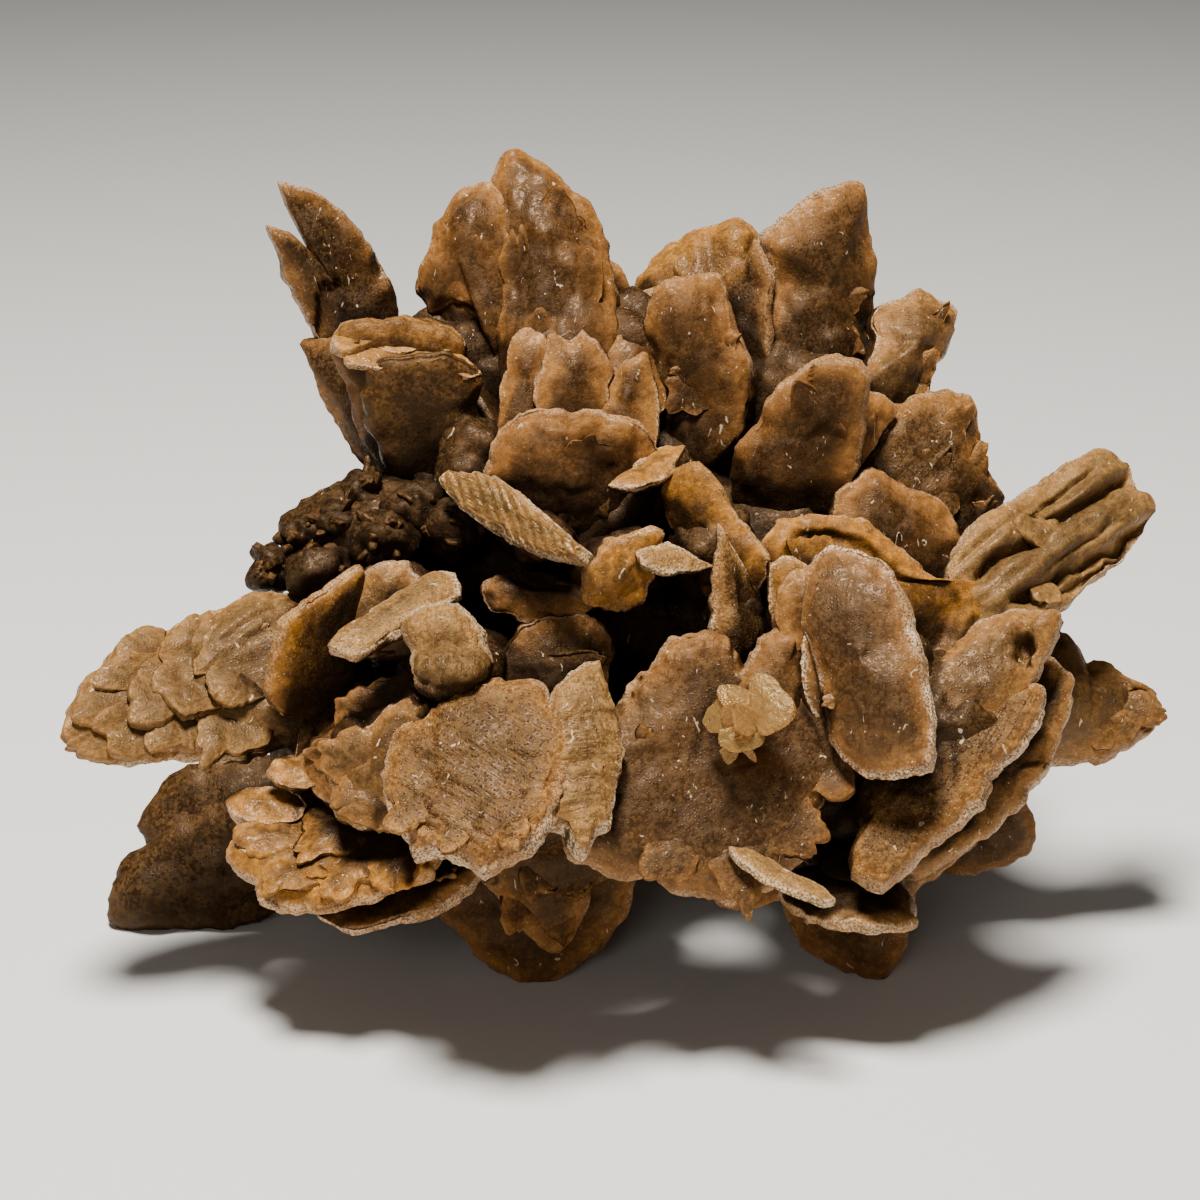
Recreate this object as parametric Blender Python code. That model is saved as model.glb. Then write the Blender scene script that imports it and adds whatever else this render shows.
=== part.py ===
"""A gypsum sand rose: flat lens-shaped crystals grown through each other into one solid.

The front blades are drawn as outlines in millimetres on a plane that stands square to the eye, and each
outline is carried along the eye's rays onto the tilted plane of its own blade. The hidden blades are placed
by where they grow.
"""

import math
from collections import namedtuple

import bmesh
import bpy
import numpy as np
from mathutils import Vector

OBJECT_NAME = "sand_rose"
MM = 0.001

# Where the outlines are drawn from. The drawing plane goes through EYE_TARGET, square to the line of sight.
EYE_PITCH = math.radians(20.0)
EYE_DISTANCE = 400.0
EYE_TARGET = np.array([0.0, 0.0, 54.0])
# The place on the drawing plane, in the outlines' own numbers, that lies on EYE_TARGET.
DRAWING_CENTRE = np.array([-2.0, 53.5])
# Moves the rose so that its box is centred over the origin and the tips of its feet reach just below the
# ground.
CENTRING = np.array([-4.4, -5.4, -1.0])
# The slab whose top is the ground, which leaves each foot a small flat facet to rest on.
GROUND_SLAB = (300.0, 300.0, 20.0)

GYPSUM_COLOUR = (0.305, 0.156, 0.061, 1.0)
GYPSUM_ROUGHNESS = 0.5

RIGHT = np.array([1.0, 0.0, 0.0])
UPWARD = np.array([0.0, math.sin(EYE_PITCH), math.cos(EYE_PITCH)])
TOWARDS_EYE = np.array([0.0, -math.cos(EYE_PITCH), math.sin(EYE_PITCH)])
EYE = EYE_TARGET + TOWARDS_EYE * EYE_DISTANCE

# The shoulders: how far out from a blade's middle its flat face ends and the slope to the rim begins, as a
# share of the way.
PLATE = 0.84
LENS = 0.6

# near: mm towards the eye. turn: degrees that the face looks to the right. lean: degrees that it looks up.
# thick: mm at the middle. shoulder: PLATE for a tabular crystal, LENS for one that swells.
Blade = namedtuple("Blade", "name near turn lean thick shoulder outline")

BLADES = (
    Blade("left horn", -22, 15, -10, 4.5, LENS, (
        (-47.2, 112.3), (-43, 111), (-38, 108.2), (-35, 104.9), (-32, 99.5), (-30, 93), (-24, 80),
        (-28, 73), (-36, 78), (-40, 88), (-43.5, 93), (-46, 97.3), (-48, 103.5), (-48.7, 105.9),
        (-45.5, 105), (-43, 102.7), (-46.2, 109))),
    Blade("wedge back", -11, 0, -25, 5.0, PLATE, (
        (-39.8, 90), (-37.5, 92.2), (-32, 92.3), (-29.5, 92.7), (-25, 91.9), (-21.5, 90.3), (-21, 89),
        (-20, 82), (-20, 74), (-25, 70), (-31, 70), (-35, 75), (-37.5, 83))),
    Blade("wedge ledge", -10, 8, 58, 2.6, PLATE, (
        (-39.8, 89), (-38, 92), (-35, 92.5), (-32, 92.3), (-29.5, 92.9), (-25, 92.1), (-21.5, 90.3),
        (-20.6, 88.6), (-24, 88), (-25.5, 89), (-29, 88), (-34, 88.6), (-37, 87.7))),
    Blade("wedge front", -7, 0, -22, 4.0, PLATE, (
        (-35, 86.5), (-30, 87.5), (-23, 88), (-19.5, 86.2), (-18, 84.8), (-19, 82), (-19.5, 80),
        (-17, 76), (-19, 71.5), (-25, 69), (-31, 71), (-34.5, 78))),
    Blade("wedge lip", -6, 8, 55, 2.2, PLATE, (
        (-37.3, 86.2), (-36.5, 88.6), (-33, 89.3), (-28, 89), (-23.5, 88.2), (-20, 86.6), (-18, 84.9),
        (-21, 84.6), (-22.5, 85.7), (-26, 85.3), (-31, 85.8))),
    Blade("left flap", -18, -35, 0, 3.0, PLATE, (
        (-43.5, 89.6), (-42, 90), (-36, 90), (-28, 86), (-24, 78), (-26, 70), (-33.6, 71.4),
        (-36.3, 73.8), (-38.3, 77.5), (-40, 80.2), (-41.3, 84.5), (-42.5, 87.5))),
    Blade("crown", -16, 0, 12, 10.0, LENS, (
        (-17, 113), (-15, 116.2), (-13.7, 116.7), (-11.5, 115.2), (-9, 113.6), (-6, 110.6), (-3.5, 108.9),
        (-1.7, 105.5), (-0.6, 102), (0.5, 97), (1, 90), (-1, 83), (-8, 79), (-15, 80), (-16.5, 88),
        (-17.6, 95), (-18.2, 104))),
    Blade("crown back", -22, 10, 10, 5.0, LENS, (
        (-4, 102), (0.5, 100.4), (1.8, 98), (2.5, 96), (4, 90), (0, 85), (-6, 88), (-6, 97))),
    Blade("crown left", -16, -10, 5, 7.0, LENS, (
        (-17, 112), (-19.3, 112), (-22, 110), (-23.3, 107.7), (-25.2, 105.6), (-25.8, 102.5),
        (-27.1, 100), (-27.6, 97), (-25.5, 93), (-22, 94.5), (-18.5, 93.5), (-16.5, 87), (-12, 90),
        (-12, 104))),
    Blade("tongue left", -7.5, -5, 8, 4.0, LENS, (
        (-16.3, 76), (-15.9, 82), (-15, 88), (-13.5, 91), (-11.5, 91.8), (-9.5, 90), (-8.5, 86), (-9, 78),
        (-12.5, 73))),
    Blade("tongue right", -6, 5, 8, 4.0, LENS, (
        (-11.2, 82.5), (-9.5, 88.5), (-8.8, 91), (-6.5, 89.8), (-4.5, 91.3), (-2.5, 89.5), (-0.8, 86.5),
        (-0.5, 81), (-4.5, 74), (-10.5, 76))),
    Blade("shelf high", -11, 5, 20, 4.5, LENS, (
        (-3, 84), (-1.8, 88), (0, 91), (3.5, 93), (6, 93), (8, 87), (7, 80), (2, 77), (-2, 79))),
    Blade("shelf low", -6, 0, 15, 4.5, LENS, (
        (-3.5, 80.3), (-2, 82), (1.3, 86.8), (4.4, 87.8), (6, 83), (6, 75), (1, 72), (-3, 75))),
    Blade("back ridge", -32, -10, 14, 8.0, PLATE, (
        (2, 94), (3, 98), (6.2, 102), (9, 103.7), (11.5, 105), (15, 105.5), (18, 105.9), (20.5, 104),
        (22, 96), (18, 86), (10, 82), (3, 87))),
    Blade("narrow", -17, -40, 0, 4.0, LENS, (
        (15, 98.5), (17, 100.7), (18.5, 101), (20, 104), (22, 98), (22, 88), (20, 81), (17, 80),
        (15.5, 90))),
    Blade("spire", -19, 14, -4, 8.0, LENS, (
        (20.3, 103.8), (21.5, 105.5), (25, 108.3), (29, 110.7), (32, 111.8), (34.7, 111.7), (35.4, 106),
        (36.7, 101.2), (36.6, 97), (35.3, 93), (35.5, 87), (33, 80), (26, 77), (21, 81), (20, 89),
        (22, 98))),
    Blade("middle petal", -10, -12, -6, 6.0, LENS, (
        (4.7, 95), (6, 97.5), (9, 98.7), (13, 99.4), (14.8, 98.8), (15.8, 96.5), (17, 92), (19, 87),
        (20, 82), (18, 76), (13, 72), (7, 73), (4.3, 79), (4.2, 87))),
    Blade("lower petal", -2, -12, -16, 6.5, LENS, (
        (16.5, 72), (17.3, 75.3), (20, 78.5), (22, 82.5), (25, 85), (27.5, 87), (31, 88), (34.5, 87.1),
        (35.9, 84.8), (35.3, 80), (35, 76), (33.5, 70), (30, 64), (24, 61), (18.5, 64), (16.5, 68))),
    Blade("petal ear", -6, 25, 5, 4.0, LENS, (
        (32, 84), (35.8, 82.8), (37.5, 82.3), (39.2, 80.3), (38.5, 78.5), (37, 76), (34, 72), (31, 75))),
    Blade("right ridge", -19, 15, 12, 9.0, LENS, (
        (35.5, 88), (36, 92.5), (37.5, 94.6), (41, 96.3), (43, 97), (45.5, 96), (48.1, 94), (47.3, 90),
        (45.5, 86.3), (43.5, 81), (40, 76), (35, 75), (32, 81))),
    Blade("tan blade", -12, 15, 12, 8.0, LENS, (
        (34, 77), (38, 80.3), (43.7, 82.2), (45.5, 83), (49, 81.8), (50.6, 80), (50.9, 76.5),
        (51.8, 71.8), (54, 68.2), (54, 64), (49, 58), (41, 59), (35, 66))),
    Blade("brown blade", -3, 12, 5, 6.0, LENS, (
        (30.3, 67), (31.5, 69), (35, 72), (36.5, 71.8), (40, 69.9), (45, 67.5), (46.5, 65.5), (50, 60),
        (48, 53), (41, 50), (34, 54), (30, 61))),
    Blade("wing", -4, 15, 22, 8.0, LENS, (
        (46, 58), (50, 64), (54.3, 66.7), (58, 68.5), (62.5, 72), (66.5, 74.2), (68.5, 74.6), (72, 72.2),
        (72.8, 68.8), (75, 68), (75.2, 65.5), (72.5, 61), (69.5, 58), (65.5, 54.8), (62, 51.5), (56, 48),
        (49, 50))),
    Blade("arc blade", 6, 5, 10, 7.0, LENS, (
        (20.5, 61.5), (23, 64.5), (27.5, 65.7), (34.5, 64.8), (38, 62.5), (41.5, 59.2), (44.5, 56.5),
        (50, 56), (52, 51), (49, 44), (42, 40), (33, 42), (25, 48), (20.5, 55))),
    Blade("knuckle", 11, 0, 5, 6.0, LENS, (
        (21.5, 52), (22, 58), (23.5, 59.3), (25, 59.4), (26.8, 58.2), (28.5, 53), (26, 47), (22.5, 48))),
    Blade("leaf high", 7, -25, -5, 5.0, LENS, (
        (7, 70.5), (8.5, 71.7), (11.5, 72.8), (13.8, 70.7), (16, 67.6), (19, 63.5), (21.3, 60),
        (21.5, 57), (18, 52), (13, 54), (9.8, 61), (7.3, 66))),
    Blade("leaf low", 12, 15, 0, 5.5, LENS, (
        (14.7, 64.2), (16.2, 62), (18.3, 57), (20, 53), (20.7, 49.5), (19.5, 46), (17, 44), (14, 46),
        (12.8, 50), (13.6, 55))),
    Blade("centre disc", 2, 5, -20, 7.0, LENS, (
        (-18.5, 71.5), (-17, 75.5), (-15, 78.5), (-12, 79.9), (-8, 80.2), (-3, 80.1), (1, 79.4),
        (3.5, 78.3), (6, 74.7), (7.5, 69), (4, 61), (-2, 56), (-9, 56), (-15, 60), (-18.5, 66))),
    Blade("disc fin", 5, 0, 50, 1.8, PLATE, (
        (-1.2, 69.3), (2, 71.8), (6, 74.6), (10, 74.8), (9.5, 73), (6.5, 70.3), (3, 69))),
    Blade("striped plate", 11, -25, 25, 3.0, PLATE, (
        (-24.2, 70), (-23, 71.3), (-19, 71.1), (-16, 70.5), (-13, 68), (-9, 64.8), (-5, 61.3), (-3, 59.8),
        (-4, 58.6), (-8, 58.9), (-12, 60), (-16.5, 62.7), (-21.5, 66.3))),
    Blade("curved plate", 13, 20, -12, 4.0, LENS, (
        (-5, 56), (-3.6, 59), (-1, 61.8), (1, 62.3), (5, 63.6), (6.9, 62.9), (6.5, 61.3), (5, 57),
        (3.5, 53), (0, 51.8), (-5, 53))),
    Blade("small leaf", 14, 10, 30, 2.0, PLATE, (
        (2.8, 59.9), (6, 61), (7.3, 61.4), (9, 60.7), (12.5, 58.8), (13.5, 58.2), (11, 57.2), (8.5, 57),
        (4, 57.5))),
    Blade("dark tongue", 6, 0, 15, 4.5, LENS, (
        (-18.8, 55), (-18, 56.5), (-14, 57.8), (-10, 57.4), (-5, 55.5), (-1, 53), (-6, 50.5), (-12, 50),
        (-17, 52))),
    Blade("dark disc", 8, 5, 0, 6.0, LENS, (
        (-17, 44), (-13, 50), (-9, 51.3), (-4, 51.4), (-1.5, 50.3), (-0.3, 48), (-0.3, 44), (-1.5, 39),
        (-6, 35), (-13, 35))),
    Blade("scaled blade", 6, 10, 22, 9.0, LENS, (
        (-48.9, 54.8), (-53.5, 53), (-58.5, 50.8), (-62, 49.3), (-66.8, 47.9), (-72.3, 45.2),
        (-72.2, 43.8), (-74.8, 40.7), (-76.2, 38.2), (-76.2, 34.8), (-74.8, 32.7), (-71, 30.7),
        (-67, 30.5), (-62, 31.2), (-55, 30.7), (-51.5, 30.6), (-47.5, 32.4), (-40, 34), (-33, 41),
        (-37, 50), (-43, 54))),
    Blade("orange rim", 10, 42, -15, 4.0, PLATE, (
        (-35.8, 58.1), (-39, 56.3), (-43, 53.6), (-46.5, 49.7), (-48.3, 45), (-48.8, 41.5), (-47, 38),
        (-42, 37), (-38, 40), (-35, 47), (-34, 54))),
    Blade("glinting lobe", 8, -8, 5, 5.0, LENS, (
        (-38.3, 53), (-37.5, 55), (-34.8, 57.5), (-31.5, 59.1), (-29, 58.6), (-27, 56), (-25, 51),
        (-28, 46), (-34, 45), (-38, 48))),
    Blade("pale plate", 17, -5, 48, 4.0, PLATE, (
        (-40, 46.6), (-39, 48.2), (-36, 50.2), (-32.5, 52.7), (-28.5, 55.3), (-25, 57), (-22, 57),
        (-21.5, 54), (-26, 50.5), (-31, 48), (-36, 45.2))),
    Blade("pale block", 20, 0, 10, 8.0, PLATE, (
        (-29.6, 50.5), (-29, 46), (-28.2, 41.5), (-25.5, 39.3), (-21, 39.5), (-18.3, 41.5), (-17, 44.3),
        (-18, 48.5), (-20.5, 52), (-23.5, 53.3), (-27, 52.3))),
    Blade("fan left", 31, -12, 32, 6.5, PLATE, (
        (-19, 41.8), (-25, 37.8), (-30, 34.8), (-31.8, 31.5), (-32.2, 29), (-31.9, 24.5), (-30, 22),
        (-28.8, 18.5), (-27.8, 17.2), (-24, 17.8), (-20, 16.1), (-18.3, 14.4), (-15, 16.3), (-10.5, 19.3),
        (-8.5, 22), (-6, 28), (-6, 36), (-11, 41.5))),
    Blade("fan right", 30, 10, 26, 6.0, PLATE, (
        (-9, 40), (-10.5, 33), (-10, 26), (-8.8, 21.4), (-7, 20.5), (-5.5, 17.3), (-4.2, 16.9),
        (-2.7, 19.8), (-0.9, 21.5), (-0.4, 25), (0.5, 29), (1.3, 32.3), (0.3, 36), (-1, 41), (-2.2, 44.7),
        (-5, 44))),
    Blade("speckled plate", 22, 4, 12, 7.5, PLATE, (
        (0, 38.5), (1.7, 41), (4, 43.5), (8, 47.7), (12, 49), (16, 47.6), (18.3, 44.4), (23, 43),
        (29, 41), (32, 36), (34.8, 30), (31.5, 28.6), (30.4, 26.5), (28.2, 24), (27, 18.5), (22.5, 13),
        (17, 10.6), (12.5, 11.8), (8.5, 12.7), (5, 14.5), (-1, 14.6), (-7, 18), (-6, 28))),
    Blade("plate lobe", 21, 6, 5, 5.0, PLATE, (
        (18, 44), (20.3, 48), (23, 49.8), (26, 49.6), (26.6, 46), (27.5, 41), (25, 36), (19, 36),
        (16, 40))),
    Blade("plate leaf", 22, 20, 5, 4.0, LENS, (
        (26, 49), (28, 50), (29.8, 49.8), (30.5, 45), (30.6, 39), (28.5, 36), (26.3, 40), (25.8, 45))),
    Blade("plate facet", 20, 5, 5, 5.0, LENS, (
        (22, 25), (26, 25), (28.2, 24), (28.4, 21.5), (27.3, 19.3), (25.3, 17.6), (21, 17), (19, 21))),
    Blade("front blade", 26, -25, 8, 7.0, LENS, (
        (26.5, 50), (26.3, 54), (27.3, 57.7), (29.5, 60.6), (31.5, 61), (35, 60), (38.5, 58),
        (40.5, 54.5), (42.3, 49), (43.7, 43), (44.8, 37), (45.1, 31.5), (44.2, 29.6), (40, 28.6),
        (36, 28.2), (33, 30), (30.5, 34), (29.3, 42))),
    Blade("front shoulder", 21, -5, 8, 5.0, LENS, (
        (22.5, 51), (23, 55), (25, 57.2), (28, 58.4), (30, 54), (29, 47), (25, 46))),
    Blade("diagonal high", 17, -8, 24, 5.0, PLATE, (
        (43.5, 42.7), (47.5, 47), (51.5, 50), (55.5, 51.7), (60, 51.4), (62, 51.2), (62.7, 50.3),
        (62.2, 48), (60.5, 44), (57, 38), (49, 34), (42, 36))),
    Blade("diagonal low", 21, -12, 22, 5.5, PLATE, (
        (43.5, 40), (47, 43.5), (52, 43.6), (57, 42.3), (60.3, 41.5), (60.9, 39.5), (60, 36.3),
        (56.5, 31.5), (54, 29.5), (51.5, 25), (48, 21.3), (44, 18), (40, 14.7), (37.8, 12.7),
        (35.8, 13.3), (33.5, 14.8), (33.6, 18), (34.7, 23), (35.5, 29), (39, 35))),
    Blade("diagonal back", 13, -8, 14, 4.5, PLATE, (
        (60, 46.5), (63, 43.8), (64.5, 42), (64, 38), (62.3, 33), (61, 29.5), (57.8, 25.8), (53, 21),
        (47, 16.8), (43, 14.5), (38, 14), (39, 22), (46, 33), (53, 42))),
    Blade("right bump", -13, 15, 12, 12.0, LENS, (
        (60, 50), (62.3, 48.8), (64.5, 46.8), (66.2, 44.1), (69, 44), (72, 42.5), (75, 41), (76.2, 39),
        (76.3, 37.3), (74.5, 35), (72.5, 33), (69, 31.6), (65, 30.6), (56, 30), (45, 33), (42, 42),
        (50, 49))),
    Blade("right foot lobe", -18, 5, -10, 9.0, LENS, (
        (57.8, 25.4), (58.7, 23.5), (58.9, 20.5), (57.5, 18), (54, 16.3), (50, 15.3), (45, 15.5),
        (38, 18), (36, 25), (42, 31), (52, 30))),
    Blade("right foot", -6.5, 0, -15, 9.0, LENS, (
        (23.3, 12), (24.3, 8), (25.7, 5.2), (28.5, 3.3), (32, 1.9), (35, 1.2), (38, 1.6), (40.2, 3.8),
        (41, 6.5), (41.5, 13), (40, 25), (34, 31), (27, 27), (22, 18))),
    Blade("thin pale plate", 30.5, 25, 50, 1.8, PLATE, (
        (15.4, 18.6), (19, 18.2), (23, 16.3), (26.5, 14.5), (29, 13), (31.2, 10.9), (29, 10.8),
        (25, 12.4), (21, 14.2), (17, 16.6))),
    Blade("saucer", 17, 0, 58, 2.6, PLATE, (
        (23, 12.8), (25, 10.3), (27.5, 8.5), (31, 7.6), (35, 7.1), (40, 7.1), (42.6, 8.2), (41.5, 11),
        (40, 14), (35, 16), (29, 16), (25, 15))),
    Blade("right web", 6, 5, -12, 5.0, LENS, (
        (34, 17), (38, 13.5), (41, 11.8), (43, 13.8), (46.5, 15.7), (51, 20), (48, 27), (40, 27),
        (34, 23))),
    Blade("centre foot", -6, -6, -8, 11.0, LENS, (
        (-24.5, 9.2), (-21.5, 7.2), (-19, 3.8), (-16, 1.7), (-12.5, 0.2), (-8.5, 0.2), (-6, 2.2),
        (-1.8, 5), (-0.7, 7.2), (1.2, 9.3), (2.8, 13.3), (3, 20), (-4, 27), (-14, 27), (-22, 20))),
    Blade("knobbly lobe", 2, 8, -8, 8.0, LENS, (
        (-19, 14.5), (-16, 11.5), (-14.2, 9.5), (-12.5, 7), (-10, 4.8), (-8, 4.9), (-5.5, 6.5),
        (-4.2, 9.5), (-3.5, 13.5), (0, 15), (1, 21), (-7, 26), (-16, 22))),
    Blade("low lobe", 6, 5, -10, 5.0, LENS, (
        (13.5, 12), (17.5, 9.7), (20, 10), (22, 11.2), (25, 12), (25, 22), (17, 28), (11, 22))),
    Blade("left foot high", -24, -5, -5, 8.0, LENS, (
        (-66.8, 22.5), (-64.8, 25.3), (-62.7, 28.7), (-60, 30.3), (-56, 31.2), (-50, 32), (-43, 30),
        (-40, 22), (-46, 15), (-58, 14), (-66, 19.5))),
    Blade("left foot", -22.5, -5, -5, 9.0, LENS, (
        (-66.2, 19.2), (-69, 17.3), (-70.2, 13), (-70.4, 9), (-68, 7.6), (-64, 7.9), (-58, 7.3),
        (-54, 7.2), (-50, 8.3), (-45, 11), (-38, 17), (-41, 25), (-50, 27), (-60, 24))),
    Blade("amber fan", 15, -12, 42, 5.5, PLATE, (
        (-54.1, 17), (-53.3, 19.5), (-50, 21.5), (-46.5, 22.8), (-42.5, 24.6), (-36, 25), (-29, 23),
        (-24, 19), (-25, 14.5), (-30.5, 13.3), (-34, 11.5), (-37.5, 10.3), (-42, 9.4), (-46, 9.6),
        (-49.5, 11.3), (-50.3, 13.7), (-53.3, 15.6))),
    Blade("lower fan", 13, 0, 42, 3.5, PLATE, (
        (-41.4, 9.3), (-39, 8), (-36.5, 7), (-33, 7.4), (-29, 8.5), (-25.5, 9.2), (-22.5, 10.8),
        (-20, 12.7), (-18, 16), (-24, 19), (-33, 19), (-40, 14))),
    Blade("left tongue", 10, -10, 35, 3.5, LENS, (
        (-54.3, 24.3), (-53.5, 25.8), (-51, 27), (-48, 27.3), (-45, 26.5), (-43, 24.5), (-45, 22.5),
        (-50, 21.5), (-53, 22.5))),
    Blade("twin back", 12, -22, 18, 6.0, LENS, (
        (-43.5, 28.5), (-42.5, 32), (-40.5, 35.3), (-38, 37.3), (-35.3, 40), (-32.5, 42), (-29.5, 43.5),
        (-25, 43), (-22, 37), (-26, 28), (-34, 23), (-41, 25.5))),
    Blade("twin front", 19, -12, 10, 6.5, LENS, (
        (-39.9, 28), (-38.6, 30.5), (-37, 33), (-35, 35), (-31, 38.7), (-28, 40.2), (-24, 38), (-23, 29),
        (-28, 23), (-32.5, 21.5), (-36, 21.2), (-38.7, 22.8), (-39.9, 25.5))),
    Blade("sliver", 7, 50, 0, 1.8, PLATE, (
        (-45, 30.5), (-43.5, 30.5), (-41, 35), (-39.3, 39.5), (-40, 42), (-42, 41), (-43.5, 36))),
    Blade("amber lip", 11, 0, 42, 2.5, PLATE, (
        (-48.6, 29), (-47, 27.5), (-43, 27), (-39, 28), (-38, 31), (-43, 32.5), (-47.5, 31))),
)


# u, v: place on the drawing plane. near: mm towards the eye. size: half extents right, up and to the eye.
Lump = namedtuple("Lump", "name u v near size")

# The rounded crystals of the sandy matrix on the left.
PEBBLES = (
    Lump("pebble knob", -47.3, 57.8, -6, (3.4, 3.4, 4)),
    Lump("pebble smooth", -41, 57.5, -3, (5, 3.6, 5)),
    Lump("pebble edge", -43, 62.2, -8, (3.2, 3.2, 4)),
    Lump("pebble top", -38.5, 64.5, -7, (3.5, 3.4, 4)),
    Lump("pebble spike", -35, 68, -9, (3.2, 3.5, 4)),
    Lump("pebble low", -32, 61.5, -2, (4.8, 4.2, 5)),
    Lump("pebble high", -28, 66, -5, (4.5, 4, 5)),
    Lump("pebble right", -22, 63, -3, (4.5, 5, 5)),
    Lump("pebble on block", -23.2, 44, 24, (4.3, 3.6, 4.5)),
)

# The places behind the blades where they grow together.
ROOTS = (
    Lump("matrix", -32, 62, -13, (15, 9, 10)),
    Lump("under wedge", -20, 72, -6, (5, 7, 6)),
    Lump("behind fan", -16, 33, 20, (10, 8, 10)),
    Lump("behind speckled plate", 12, 30, 14, (11, 10, 9)),
    Lump("behind front blade", 36, 42, 14, (8, 10, 13)),
    Lump("behind diagonal", 46, 36, 12, (9, 9, 11)),
    Lump("behind block", -22, 43, 4, (8, 7, 15)),
    Lump("behind glinting lobe", -31, 52, -2, (9, 7, 11)),
    Lump("behind scaled blade", -31, 36, -6, (10, 8, 13)),
    Lump("behind amber fan", -38, 22, 0, (9, 7, 12.5)),
    Lump("behind twins", -32, 31, 8, (8, 9, 13)),
    Lump("behind centre disc", -4, 66, -6, (13, 10, 10)),
    Lump("behind dark tongue", -8, 54, 0, (7, 4, 8)),
    Lump("behind curved plate", 1, 58, 4, (7, 5, 9)),
    Lump("behind striped plate", -10, 62, 5, (5, 3.5, 9)),
    Lump("behind leaf high", 13, 61, 1, (6, 7, 8)),
    Lump("behind leaf low", 17, 51, 5, (4, 6, 8)),
    Lump("behind saucer", 34, 15, 8, (6, 5, 8)),
)

# How often a ball's facets are divided: the places behind the blades are left coarse.
PEBBLE_ROUNDNESS = 2
HIDDEN_ROUNDNESS = 1

# The middle where the blades have grown together: centre and half extents in mm, in the object's own axes.
MIDDLE = (
    ((2, 26, 50), (30, 18, 26)),
    ((-16, 22, 52), (22, 14, 18)),
    ((26, 15, 50), (18, 15, 18)),
    ((2, 30, 76), (22, 10, 14)),
    ((-20, 30, 76), (16, 9, 12)),
    ((28, 28, 70), (14, 10, 14)),
    ((-4, 9, 28), (24, 13, 12)),
    ((-6, -9, 29), (17, 14, 8)),
    ((30, -4, 36), (13, 12, 12)),
    ((44, 10, 33), (18, 10, 10)),
    ((36, -8, 25), (10, 11, 9)),
    ((-34, 8, 26), (14, 12, 10)),
    ((-36, 2, 16), (14, 9, 6)),
)

# The blades that the eye doesn't see, which grow out of the middle at the back and below.
# around: degrees about +Z from +X. up: degrees above level. reach: how far the tip is from GROWTH_CENTRE.
# spin: degrees about the blade's own length, 0 for a blade that stands upright.
Grown = namedtuple("Grown", "around up reach length width spin thick")

GROWTH_CENTRE = np.array([0.0, 12.0, 52.0])

GROWN = (
    Grown(28, 8, 50, 36, 30, 35, 6),
    Grown(50, -4, 54, 38, 32, 70, 6),
    Grown(70, 14, 50, 34, 30, -20, 7),
    Grown(92, 0, 46, 32, 34, 55, 6),
    Grown(112, 12, 50, 34, 28, 15, 6),
    Grown(132, -2, 52, 38, 32, -60, 6),
    Grown(152, 4, 49, 34, 24, 72, 6),
    Grown(36, 40, 50, 32, 24, 55, 6),
    Grown(66, 46, 50, 32, 28, 60, 6),
    Grown(98, 40, 52, 34, 30, -10, 7),
    Grown(128, 42, 50, 32, 26, 50, 6),
    Grown(40, -52, 65.5, 40, 28, 10, 7),
    Grown(72, -30, 56, 34, 30, 75, 6),
    Grown(104, -40, 60, 36, 30, -25, 8),
    Grown(138, -52, 65.5, 47, 28, 20, 7),
    Grown(165, -22, 52, 32, 26, 65, 6),
    Grown(8, -26, 50, 32, 26, -60, 6),
)
GROWN_RIM_POINTS = 8


def on_drawing_plane(u, v):
    du, dv = np.array([u, v]) - DRAWING_CENTRE
    return EYE_TARGET + RIGHT * du + UPWARD * dv


def towards_eye(point, near):
    ray = EYE - point
    return point + ray / np.linalg.norm(ray) * near


def facing(turn, lean):
    turn = math.radians(turn)
    lean = math.radians(lean)
    ahead = math.cos(lean)
    return RIGHT * math.sin(turn) * ahead + UPWARD * math.sin(lean) + TOWARDS_EYE * math.cos(turn) * ahead


def carried(u, v, anchor, normal):
    """The point of the blade's plane that the eye sees at (u, v) of the drawing plane."""
    ray = on_drawing_plane(u, v) - EYE
    return EYE + ray * ((anchor - EYE) @ normal) / (ray @ normal)


def new_object(name, mesh_builder, collection):
    mesh = bpy.data.meshes.new(name)
    builder = bmesh.new()
    mesh_builder(builder)
    builder.to_mesh(mesh)
    builder.free()
    item = bpy.data.objects.new(name, mesh)
    collection.objects.link(item)
    return item


def add_points(builder, places):
    return [builder.verts.new(Vector((place + CENTRING) * MM)) for place in places]


def lens_object(name, rim, centre, normal, thick, shoulder, collection):
    """A flat crystal: a sharp rim, and on each side a slope up to a flat face."""
    rim = np.array(rim)
    turning = np.cross(rim - centre, np.roll(rim, -1, axis=0) - centre).sum(axis=0) @ normal
    if turning < 0:
        rim = rim[::-1]
    face = centre + (rim - centre) * shoulder
    lift = normal * thick / 2

    def build(builder):
        edge = add_points(builder, rim)
        front = add_points(builder, face + lift)
        back = add_points(builder, face - lift)
        builder.faces.new(front)
        builder.faces.new(back[::-1])
        for step in range(len(edge)):
            builder.faces.new((edge[step - 1], edge[step], front[step], front[step - 1]))
            builder.faces.new((edge[step], edge[step - 1], back[step - 1], back[step]))

    return new_object(name, build, collection)


def drawn_blade(blade, collection):
    middle = np.mean(blade.outline, axis=0)
    anchor = towards_eye(on_drawing_plane(*middle), blade.near)
    normal = facing(blade.turn, blade.lean)
    rim = [carried(u, v, anchor, normal) for u, v in blade.outline]
    return lens_object(blade.name, rim, anchor, normal, blade.thick, blade.shoulder, collection)


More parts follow.
